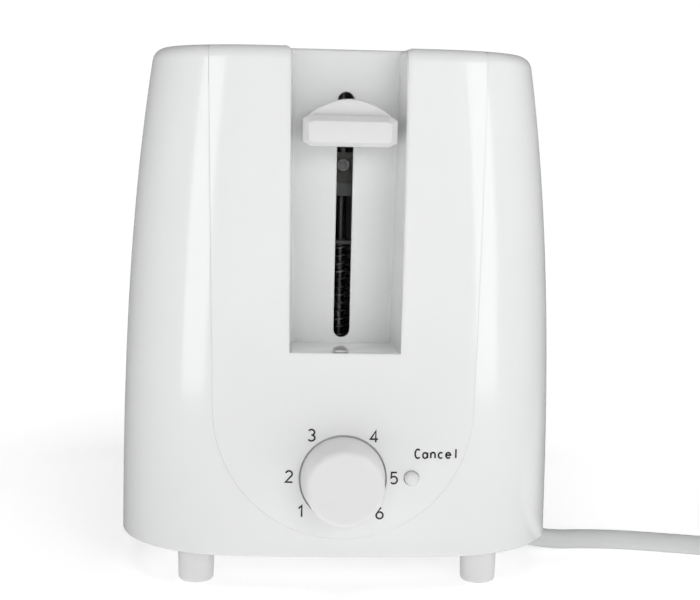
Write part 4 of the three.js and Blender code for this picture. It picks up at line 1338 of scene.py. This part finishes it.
@dataclass
class Lever:
    """The push-down handle: a chamfered bar with a domed web behind it."""

    shift: float = 0.55
    face_half: float = 14.4
    half: float = 16.4
    foot: float = 155.6
    top: float = 166.9
    front: float = 6.0
    dome_half: float = 16.2
    crown: float = 172.1
    rivet_z: float = 148.8
    foot_y: Flat = (35.4, 36.7)
    foot_top: float = 153.2
    arm_z: Flat = (142.8, 166.6)
    sleeve: Point = (1.4, 13.7, 158.5)
    sleeve_end: Point = (1.4, 29.5, 165.9)

    def outline(self, half: float, foot: float, top: float, cut: Flat) -> list[Flat]:
        """A bar's outline with small top corners and slanted lower ones."""
        across, up = cut
        right = [(half - across, foot), (half - 0.3, foot + up), (half, foot + up + 0.5)]
        right += [(half, top - up - 0.3), (half - 0.25, top - up), (half - across, top)]
        return [(x + self.shift, z) for x, z in right + [(-x, z) for x, z in reversed(right)]]

    def bar(self) -> Form:
        """The front bar: a flat face, slanted all round to a wider back."""
        loops = []
        face = (self.face_half, self.foot + 1.3, self.top - 2.5)
        for y, shy in ((self.front, 0.4), (self.front + 0.12, 0.12), (self.front + 0.4, 0.0)):
            half, foot, top = face[0] - shy, face[1] + shy, face[2] - shy
            loops.append([(x, y, z) for x, z in self.outline(half, foot, top, (1.6, 0.5))])
        for deep, shy in ((2.1, 0.25), (2.5, 0.05), (3, 0), (6.5, 0)):
            half, foot, top = self.half - shy, self.foot + shy, self.top - 0.5 - shy
            outline = self.outline(half, foot, top, (2.8, 1.3))
            loops.append([(x, self.front + deep, z) for x, z in outline])
        return Form().loft(loops)

    def web(self) -> Form:
        """The domed web behind the bar."""
        shoulder = self.top - 2.1
        loops = []
        for y, shy in ((11.2, 0.5), (11.5, 0.15), (12.0, 0), (23.9, 0), (24.3, 0.15), (24.5, 0.5)):
            half = self.dome_half - shy
            foot = self.foot + 1.4 + shy
            loop = [(self.shift - half, y, foot), (self.shift + half, y, foot)]
            for t in np.linspace(1, -1, 33):
                z = shoulder + (self.crown - shoulder) * (1 - t * t) - shy
                loop.append((self.shift + half * t, y, z))
            loops.append(loop)
        return Form().loft(loops)

    def arm(self) -> bpy.types.Mesh:
        """The steel arm: a riveted foot, a narrow neck and the tongue in the handle."""
        front, back = self.foot_y
        low, high = self.arm_z
        foot = Form().block((-6, front, low), (6, back, self.foot_top))
        neck = Form().block((-0.75, front, self.foot_top - 1), (0.75, back, high))
        tongue = Form().block((-1.1, 14, 158.8), (1.1, front + 0.6, 165.6))
        drill = [(0, front - 1), (1.6, front - 1), (1.6, back + 1), (0, back + 1)]
        hole = Form().lathe(drill, Axis.Y, (0, self.rivet_z), 32)
        return worked(worked(foot, Join.ADD, neck, tongue), Join.CUT, hole)

    def build(self) -> list[bpy.types.Object]:
        """Makes the handle and the rivet, and dresses the arm."""
        sleeve = Form().block((-self.sleeve[0], *self.sleeve[1:]), self.sleeve_end)
        mesh = worked(worked(self.bar(), Join.ADD, self.web()), Join.CUT, sleeve)
        handle = Dress("lever_grip", "carriage", Finish.GRIP, ("lever_handle",), 30, 0.2)
        (_, face, _), (_, back, _) = span("lever_rivet")
        rolled = (
            (0, 1.1), (1.0, 1.0), (1.25, 0.5), (1.5, 0.12), (1.9, 0), (2.3, 0.15), (2.5, 0.5),
            (2.45, 0.85), (2.2, 1.0), (1.3, 1.1),
        )
        profile = [*((r, face + y) for r, y in rolled), (1.3, back), (0, back)]
        rivet = Dress("lever_rivet_head", "carriage", Finish.RIVET, ("lever_rivet",), 50)
        arm = Dress("lever_shank", "carriage", Finish.DULL_STEEL, ("lever_arm",), bevel=0.12)
        turned = Form().lathe(profile, Axis.Y, (0, self.rivet_z), 48)
        return [handle.piece(mesh), rivet.piece(turned), arm.piece(self.arm())]


# Underside ---------------------------------------------------------------------------------


@dataclass
class Underside:
    """Feet, base plate, screws and the crumb tray."""

    base_z: float = 15.0
    base: float = 2.4
    foot_r: float = 6.3
    foot_edge: Flat = (4.7, 1.7)  # where the tread's edge starts, and how high it rounds up

    def feet(self) -> list[bpy.types.Object]:
        """The four posts that it stands on."""
        made = []
        for node in ("foot_front_left", "foot_front_right", "foot_rear_left", "foot_rear_right"):
            top, r, (tread, rise) = self.base_z - GAP, self.foot_r, self.foot_edge
            profile = [(0, 0.5), (2.6, 0.5), (3.2, 0.1), (3.6, 0.0), (tread, 0.0)]
            for turn in np.radians(np.linspace(10, 80, 6)):
                profile.append((tread + 1.55 * math.sin(turn), rise * (1 - math.cos(turn))))
            profile += [(r, 2.0), (r + 0.3, top - 0.4), (r, top), (3, top)]
            profile += [(3, self.base_z + self.base), (0, self.base_z + self.base)]
            dress = Dress(node.replace("foot_", "foot_post_"), "housing", Finish.TRIM, (node,), 40)
            made.append(dress.piece(Form().lathe(profile, Axis.Z, middle(node), 64)))
        return made

    def screws(self) -> list[bpy.types.Object]:
        """The cross-head screws that hold the base."""
        made = []
        for corner in (f"{end}_{hand}" for end in ("front", "rear") for hand in ("left", "right")):
            node = f"base_screw_{corner}"
            x, y = middle(node)
            foot, end = (place[2] for place in span(node))
            head = ((0, 0), (1.8, 0.08), (2.8, 0.45), (3.4, 1.1), (3.4, 1.9), (1.4, 2.0))
            profile = [*((r, foot + z) for r, z in head), (1.4, end - 1.5), (0, end)]
            cross = []
            for a, b in ((2, 0.35), (0.35, 2)):
                cross.append(Form().block((x - a, y - b, foot - 1), (x + a, y + b, foot + 1.1)))
            mesh = worked(Form().lathe(profile, Axis.Z, (x, y), 40), Join.CUT, *cross)
            dress = Dress(f"cross_head_{corner}", "housing", Finish.STEEL, (node,))
            made.append(dress.piece(mesh))
        return made

    def build(self) -> list[bpy.types.Object]:
        """Makes the feet and screws, and dresses the base and tray."""
        keep("base_plate", Finish.UNDERSIDE, 0.3)
        keep("crumb_tray", Finish.GALVANISED, 0.2)
        return self.feet() + self.screws()


# Inside ------------------------------------------------------------------------------------


@dataclass
class ToastChamber:
    """End plates, shields, heating cards with their ribbons, and the tilting bread guides."""

    wire: float = 0.9

    def guide(self, node: str) -> bpy.types.Object:
        """One bread guide: two rails and the wires between them."""
        (_, front, foot), (_, rear, top) = span(node)
        x = middle(node)[0]
        foot, top = foot + self.wire, top - self.wire
        shape = Form()
        for z in (foot, top):
            shape.tube([(x, y, z) for y in np.linspace(front, rear, 8)], self.wire, 16)
        for i in range(8):
            y = front + 6 + (rear - front - 12) * i / 7
            shape.tube([(x, y, z) for z in np.linspace(foot, top, 6)], self.wire * 0.85, 14)
        name, body = (node.replace("bread_guide", word) for word in ("guide_grille", "guide"))
        return Dress(name, body, Finish.WIRE, (node,)).piece(shape)

    def build(self) -> list[bpy.types.Object]:
        """Makes the guides and dresses the sheet work."""
        for node in ("front_end_plate", "rear_end_plate", "heat_shield_left", "heat_shield_right"):
            keep(node, Finish.GALVANISED, 0.1)
        for place in ("centre", "left", "right"):
            keep(f"element_card_{place}", Finish.MICA, 0.08)
        for place in ("centre_left", "centre_right", "left", "right"):
            keep(f"element_ribbon_{place}", Finish.RIBBON, 0.05)
        sides = [(hand, side) for hand in ("left", "right") for side in ("inner", "outer")]
        return [self.guide(f"bread_guide_{hand}_{side}") for hand, side in sides]


@dataclass
class Carriage:
    """The sliding bracket with its bread racks, rod and return spring."""

    rod_at: Flat = (0.0, 44.0)
    rod_r: float = 2.0
    spring_r: float = 3.9
    spring_wire: float = 0.4
    turns: int = 33
    turn_steps: int = 28
    travel: float = 70.0

    def bracket(self) -> bpy.types.Object:
        """The folded bracket: wings, riser, two lugs on the rod and the front strap."""
        half, back, sheet, front = 8.0, 51.0, 1.2, 37.0
        parts = [
            Form().block((-half, back, 112), (half, back + sheet, 156.2)),
            Form().block((-half, front, 120), (half, back + 0.6, 121.2)),
            Form().block((-half, front, 155), (half, back + 0.6, 156.2)),
            Form().block((-half, front, 137.6), (half, front + sheet, 153.4)),
            Form().block((5.6, front, 139), (half, front + sheet, 155.6)),
            Form().block((-half, front, 139), (-5.6, front + sheet, 155.6)),
        ]
        wings = Form().block((-38, back, 112), (38, back + sheet, 132))
        r = self.rod_r + GAP
        hole = Form().lathe([(0, 110), (r, 110), (r, 160), (0, 160)], Axis.Z, self.rod_at, 32)
        mesh = worked(worked(wings, Join.ADD, *parts), Join.CUT, hole)
        node = ("carriage_bracket",)
        return Dress("sliding_bracket", "carriage", Finish.DULL_ZINC, node, bevel=0.1).piece(mesh)

    def rod(self) -> bpy.types.Object:
        """The polished rod that the carriage slides on."""
        a, b = (place[2] for place in span("guide_rod"))
        r = self.rod_r
        profile = [(0, a), (r - 0.4, a), (r, a + 0.4), (r, b - 0.5), (r - 0.5, b), (0, b)]
        shape = Form().lathe(profile, Axis.Z, self.rod_at, 48)
        return Dress("polished_rod", "housing", Finish.ROD, ("guide_rod",)).piece(shape)

    def spring(self) -> bpy.types.Object:
        """The return spring."""
        (_, _, low), (_, _, high) = span("return_spring")
        foot, top = low + self.spring_wire, high - self.spring_wire
        (x, y), r = self.rod_at, self.spring_r
        path = []
        steps = self.turns * self.turn_steps
        for i in range(steps + 1):
            t = i / steps
            turn = 2 * math.pi * self.turns * t
            path.append((x + r * math.cos(turn), y + r * math.sin(turn), foot + (top - foot) * t))
        coil = Dress("coiled_spring", "housing", Finish.SPRING, ("return_spring",))
        piece = coil.piece(Form().tube(path, self.spring_wire, 8))
        anchor = placed((x, y, low))
        share = (high - low - self.travel) / (high - low)
        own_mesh(piece)
        return piece

    def build(self) -> list[bpy.types.Object]:
        """Makes the rod and spring, and dresses the sheet work."""
        made = [self.bracket(), self.rod(), self.spring()]
        keep("latch_keeper", Finish.STEEL, 0.15)
        keep("contact_presser", Finish.TERMINAL, 0.2)
        for hand in ("left", "right"):
            keep(f"bread_rack_{hand}", Finish.STEEL, 0.15)
        return made


@dataclass
class Electrics:
    """The board and the parts on it, the switches, magnet, terminals and leads."""

    lead_r: float = 1.1
    routes: ClassVar[dict[str, tuple[Finish, tuple[Point, ...]]]] = {
        "live_lead": (Finish.BROWN, ((17, 56, 20), (30, 60, 24), (40, 58, 31), (44.5, 47, 33))),
        "neutral_lead": (Finish.BLUE, ((14, 60, 21), (32, 63, 26), (48, 60, 34), (51, 47, 34))),
        "earth_lead": (Finish.EARTH, ((11, 56, 20), (10, 51, 25), (16, 54, 30), (20, 60, 33))),
    }

    @staticmethod
    def smooth(points: Sequence[Point], steps: int = 10) -> list[Point]:
        """A Catmull-Rom line through points."""
        line = [Vector(p) for p in points]
        line = [line[0] * 2 - line[1], *line, line[-1] * 2 - line[-2]]
        made = []
        for a, b, c, d in zip(line, line[1:], line[2:], line[3:]):
            for i in range(steps):
                t = i / steps
                bent = (a * -1 + b * 3 - c * 3 + d) * t**3 + (a * 2 - b * 5 + c * 4 - d) * t * t
                made.append(tuple((bent + (c - a) * t) * 0.5 + b))
        return [*made, tuple(line[-2])]

    def build(self) -> list[bpy.types.Object]:
        """Makes the leads and dresses the rest."""
        for node, finish, bevel in (
            ("control_board", Finish.BOARD, 0.1),
            ("timer_potentiometer", Finish.GALVANISED, 0.2),
            ("cancel_switch", Finish.BLACK, 0.2),
            ("magnet_core", Finish.STEEL, 0.15),
            ("magnet_coil", Finish.COPPER, 0.3),
            ("mains_switch", Finish.BLACK, 0.3),
            ("terminal_block", Finish.TERMINAL, 0.4),
        ):
            keep(node, finish, bevel)
        made = []
        for node, (finish, route) in self.routes.items():
            shape = Form().tube(self.smooth(route), self.lead_r, 16)
            dress = Dress(node.replace("_lead", "_wire"), "housing", finish, (node,))
            made.append(dress.piece(shape))
        return made


# Cord --------------------------------------------------------------------------------------


@dataclass
class CordSet:
    """The mains lead: out from under the base, along the table and wound up with its plug."""

    radius: float = 3.7
    outlet: Point = (22.3, 57.5, 9.4)
    relief: float = 26.0
    grooves: int = 6
    laid: float = 3.75
    route: tuple[Point, ...] = (
        (48.6, 57.5, 9.4), (54, 57.5, 9.4), (60, 57.6, 9.1), (66, 57.9, 8.2), (72, 58.4, 6.9),
        (78, 59.2, 5.4), (84, 60, 4.3), (90, 60.8, 3.75), (96, 61.2, 3.75), (103, 61.2, 3.75),
        (109, 60.7, 3.75), (115, 59.7, 3.75), (121, 58.3, 3.75), (127, 56.7, 3.75),
        (134, 54.7, 3.75), (141, 52.5, 3.75), (148, 49.9, 3.75), (154.6, 47.1, 3.75),
    )
    coil_at: Flat = (207.5, 73.0)
    coil_out: float = 44.7
    coil_in: float = 37.3
    coil_z: Flat = (5.0, 12.4)
    turns: float = 10 / 3
    plug_at: Flat = (252.2, 111.5)
    plug_r: float = 18.5
    plug_long: float = 50.0

    def coil(self) -> list[Point]:
        """The wound turns: outer ones, inner ones, then back over the top."""
        points = []
        steps = round(self.turns * 40)
        for i in range(steps + 1):
            u = self.turns * i / steps
            turn = 2 * math.pi * u + math.radians(240)
            inward = smoothstep((u - 0.72) / 0.26) - smoothstep((u - 2.36) / 0.24)
            radius = self.coil_out + (self.coil_in - self.coil_out) * inward
            start = self.laid + (self.coil_z[0] - self.laid) * smoothstep(u / 0.12)
            z = start + (self.coil_z[1] - self.coil_z[0]) * smoothstep((u - 1.45) / 0.26)
            x, y = self.coil_at
            points.append((x + radius * math.cos(turn), y + radius * math.sin(turn), z))
        return points

    def path(self) -> list[Point]:
        """The cord's centre line, end to end."""
        along = [(x, *self.outlet[1:]) for x in np.linspace(self.outlet[0], 46, 7)]
        meet = (170.0, 41.4, self.laid)
        x, plug_y = self.plug_at
        low, high = self.coil_z[1], self.plug_r
        tail = []
        for y in np.linspace(77, plug_y + 3, 12):
            tail.append((x, y, low + (high - low) * smoothstep((y - 76) / 31)))
        return Electrics.smooth([*along, *self.route, meet, *self.coil()[::2], *tail], 4)

    def lead(self) -> tuple[bpy.types.Object, float]:
        """The cord itself, as one curve, and its length in metres."""
        path = [placed(p) for p in self.path()]
        curve = bpy.data.curves.new("mains_lead", "CURVE")
        curve.dimensions = "3D"
        line = curve.splines.new("POLY")
        line.points.add(len(path) - 1)
        for spot, p in zip(line.points, path):
            spot.co = (*p, 1)
        curve.bevel_depth = self.radius * MM
        curve.bevel_resolution = 8
        curve.use_fill_caps = True
        curve.materials.append(Finish.CORD.material())
        made = bpy.data.objects.new("mains_lead", curve)
        bpy.context.scene.collection.objects.link(made)
        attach(made, "housing")
        Finish.CORD.slot
        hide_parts("power_cord", "cord_coil", "cord_tail")
        return made, sum((b - a).length for a, b in zip(path, path[1:]))

    def sleeve(self) -> bpy.types.Object:
        """The tapered strain relief with its grooves."""
        x0 = self.outlet[0]
        profile = [(0, x0), (5.2, x0), (5.6, x0 + 0.4), (5.6, x0 + 3.2)]
        for i in range(self.grooves):
            x = x0 + 3.6 + i * 3.6
            r = 5.5 - 1.1 * (x - x0) / self.relief
            profile += [(r - 0.65, x + 0.15), (r - 0.65, x + 0.95)]
            profile += [(r, x + 1.15), (r - 0.12, x + 3.3)]
        end = x0 + self.relief
        profile += [(4.35, end - 0.4), (4.05, end), (0, end)]
        shape = Form().lathe(profile, Axis.X, self.outlet[1:], 48)
        return Dress("cord_strain_relief", "housing", Finish.CORD, ("strain_relief",)).piece(shape)

    def tie(self) -> bpy.types.Object:
        """The strap round the wound turns."""
        (x0, y0, z0), (x1, y1, z1) = span("cord_tie")
        outer, inner = (
            rounded((y0 + shy, z0 + shy), (y1 - shy, z1 - shy), 3.2 - shy * 0.9, 8)
            for shy in (0.0, 1.0)
        )
        rings = []
        for outline, x in ((outer, x0), (outer, x1), (inner, x1), (inner, x0)):
            rings.append([(x, y, z) for y, z in outline])
        dress = Dress("coil_tie", "housing", Finish.TIE, ("cord_tie",), bevel=0.2)
        return dress.piece(Form().loft(rings, closed=True))

    def plug(self) -> list[bpy.types.Object]:
        """The moulded plug with a ribbed neck, and its two pins."""
        (x, y0), r = self.plug_at, self.plug_r
        profile = [(0, y0), (4.3, y0), (4.6, y0 + 0.4)]
        for i in range(5):
            y = y0 + 1.6 + i * 2.9
            rib = 5.0 + i * 0.5
            profile += [(rib - 0.6, y), (rib - 0.6, y + 0.9)]
            profile += [(rib + 0.1, y + 1.2), (rib + 0.3, y + 2.7)]
        for t in np.linspace(0, 1, 12)[1:]:
            profile.append((7.6 + (r - 7.6) * smoothstep(t), y0 + 16 + 17 * t))
        end = y0 + self.plug_long
        profile += [(r, end - 1.5), (r - 0.3, end - 0.5), (r - 1, end), (0, end)]
        body = Dress("moulded_plug", "housing", Finish.CORD, ("plug_body",), 40)
        made = [body.piece(Form().lathe(profile, Axis.Y, (x, r), 72))]
        for hand in ("left", "right"):
            node = f"plug_pin_{hand}"
            a, b = (place[1] for place in span(node))
            pin = [(0, a), (2.4, a), (2.4, b - 2), (2.2, b - 1), (1.5, b - 0.25), (0.8, b), (0, b)]
            dress = Dress(f"contact_pin_{hand}", "housing", Finish.NICKEL, (node,), 40)
            made.append(dress.piece(Form().lathe(pin, Axis.Y, middle(node, (0, 2)), 40)))
        return made

    def build(self) -> list[bpy.types.Object]:
        """Makes the cord and everything on it."""
        lead, length = self.lead()
        sleeve, tie, plug = self.sleeve(), self.tie(), self.plug()
        keep("cord_gland", Finish.UNDERSIDE, 0.5)
        placed(self.outlet)
        LOG.info("cord %.3f m", length)
        return [lead, sleeve, tie, *plug]


# Table, light and camera -------------------------------------------------------------------


@dataclass
class Studio:
    """A pale table that runs out of sight and glows with painted light, a bright surround, large
    soft lights, the camera.
    """

    eye: Point = (-34.4, -522.9, 159.2)
    yaw: float = 3.89
    pitch: float = 6.08
    roll: float = -1.26
    lens: float = 79.03
    aim: Point = (0, -0.1, 0.12)
    lights: ClassVar[dict[str, tuple[Point, Flat, float]]] = {
        "key": ((0.58, -1.45, 0.5), (0.5, 0.5), 4.4),
        "front": ((-0.1, -1.5, 0.3), (1.0, 0.7), 1.55),
        "left_key": ((-0.75, -1.25, 0.5), (0.5, 0.5), 1.4),
        "left_fill": ((-1.4, 0.1, 0.5), (0.8, 0.8), 1.9),
        "right_fill": ((1.4, 0.1, 0.5), (0.8, 0.8), 2.4),
        "top": ((0.0, -0.5, 1.6), (1.2, 1.2), 1.7),
    }

    def camera(self) -> bpy.types.Object:
        """Sets the camera up."""
        yaw, pitch, roll = (math.radians(v) for v in (self.yaw, self.pitch, self.roll))
        flat = math.cos(pitch)
        ahead = Vector((math.sin(yaw) * flat, math.cos(yaw) * flat, -math.sin(pitch)))
        level = Vector((math.cos(yaw), -math.sin(yaw), 0))
        down = ahead.cross(level)
        right = level * math.cos(roll) + down * math.sin(roll)
        low = down * math.cos(roll) - level * math.sin(roll)
        lens = bpy.data.cameras.new("camera")
        lens.lens = self.lens
        lens.sensor_width = 36
        lens.clip_start = 0.01
        made = bpy.data.objects.new("camera", lens)
        turn = Matrix((right, -low, -ahead)).transposed().to_4x4()
        made.matrix_world = Matrix.Translation(placed(self.eye)) @ turn
        bpy.context.scene.collection.objects.link(made)
        bpy.context.scene.camera = made
        return made

    @staticmethod
    def prop(name: str, points: Sequence[Point], faces: Sequence[tuple[int, ...]],
             look: Shader) -> bpy.types.Object:
        """A part of the stage, in metres."""
        form = bpy.data.meshes.new(name)
        form.from_pydata(points, [], faces)
        form.materials.append(look.material)
        made = bpy.data.objects.new(name, form)
        bpy.context.scene.collection.objects.link(made)
        return made

    def table(self) -> None:
        """The surface that it stands on, which glows with painted light: dimmest round the toaster,
        near white far off.
        """
        s = Shader("table_white_painted_glow")
        s.set(Base_Color=s.blend(s.noise(3, 2), colour(0.905), colour(0.92)), Roughness=0.9)
        away = s.add("ShaderNodeVectorMath", {"operation": "LENGTH"}, 1, in_0=s.place)
        # painted light: the table glows, dimmest round the toaster and rising to near white far off
        glow = s.blend(s.ramp(away, 0.1, 0.45), colour(0.45), colour(0.74))
        stops = [(0.12, 0.0), (0.5, 1.0)]
        far = s.add("ShaderNodeValToRGB", {"stops": stops}, Fac=away / 4)
        s.set(Emission_Color=s.blend(far, glow, colour(0.95)), Emission_Strength=1.0)
        s.set(Specular_IOR_Level=0.2)
        r = 6.0
        square = [(-r, -r, 0), (r, -r, 0), (r, r, 0), (-r, r, 0)]
        made = self.prop("table", square, [(0, 1, 2, 3)], s)
        made.visible_glossy = False

    def backdrop(self) -> None:
        """A white surround far off, which lights nothing."""
        s = Shader("backdrop_white")
        s.set(Base_Color=colour(0.0), Roughness=1.0, Specular_IOR_Level=0.0)
        glow = s.blend(s.noise(1, 1), colour(1.01), colour(1.03))
        s.set(Emission_Color=glow, Emission_Strength=1.0)
        reach, tall, count = 5.5, 4.0, 64
        points = [(x, y, z) for z in (-0.01, tall) for x, y in ring(reach, count=count)]
        faces = [(i, (i + 1) % count, (i + 1) % count + count, i + count) for i in range(count)]
        made = self.prop("backdrop", points, faces, s)
        made.visible_diffuse = made.visible_glossy = made.visible_shadow = False

    def lamp(self, name: str, at: Point, size: Flat, glow: float, mirrored: bool = False) -> None:
        """One soft rectangular light aimed at the toaster's front.

        Args:
            name: The light's name.
            at: Its place in metres.
            size: Its width and height in metres.
            glow: How bright its face is.
            mirrored: Whether it shows in glossy surfaces, rather than lighting surfaces.
        """
        light = bpy.data.lights.new(name, "AREA")
        light.shape = "RECTANGLE"
        light.size, light.size_y = size
        light.energy = glow * math.pi * size[0] * size[1]
        made = bpy.data.objects.new(name, light)
        way = (Vector(self.aim) - Vector(at)).to_track_quat("-Z", "Y")
        made.matrix_world = Matrix.Translation(Vector(at)) @ way.to_matrix().to_4x4()
        made.visible_camera = False
        made.visible_glossy = mirrored
        made.visible_diffuse = not mirrored
        bpy.context.scene.collection.objects.link(made)

    def surround(self) -> None:
        """The even light all round, a little weaker from the left."""
        world = bpy.data.worlds.new("surround")
        world.use_nodes = True
        bpy.context.scene.world = world
        tree = world.node_tree
        direction = tree.nodes.new("ShaderNodeTexCoord").outputs["Generated"]
        split = tree.nodes.new("ShaderNodeSeparateXYZ")
        tree.links.new(direction, split.inputs[0])
        x, y = Wire(tree, split.outputs[0]), Wire(tree, split.outputs[1])
        ahead = ((y + 1) / 2) ** 8
        strength = ahead * 0.3 + x * 0.04 + 0.085
        background = next(n for n in tree.nodes if n.type == "BACKGROUND")
        background.inputs["Color"].default_value = (0.99, 0.995, 1.0, 1)
        tree.links.new(strength.socket, background.inputs["Strength"])

    def build(self) -> None:
        """Sets the whole studio up."""
        self.camera()
        self.table()
        self.backdrop()
        self.surround()
        bpy.context.scene.view_settings.view_transform = "Standard"
        bpy.context.scene.view_settings.look = "None"
        for name, x in (("left_box", -0.37), ("right_box", 0.37)):
            self.lamp(name, (x, -0.40, 0.19), (0.2, 0.36), 1.5, mirrored=True)
        for name, (at, size, glow) in self.lights.items():
            self.lamp(name, at, size, glow)


# Everything --------------------------------------------------------------------------------


def main() -> None:
    """Builds the toaster and the studio, and logs the pieces that each part made."""
    logging.basicConfig(level=logging.INFO, format="%(name)s: %(message)s")
    skin = Skin()
    Studio().build()
    parts = (
        CordSet(), Housing(skin), Lettering(skin), Dial(), CancelButton(), Lever(), Underside(),
        ToastChamber(), Carriage(), Electrics(),
    )
    for part in parts:
        made = part.build()
        names = [p.name for p in (made if isinstance(made, list) else [made])]
        LOG.info("%s: %s", type(part).__name__, ", ".join(names))


if __name__ == "__main__":
    main()
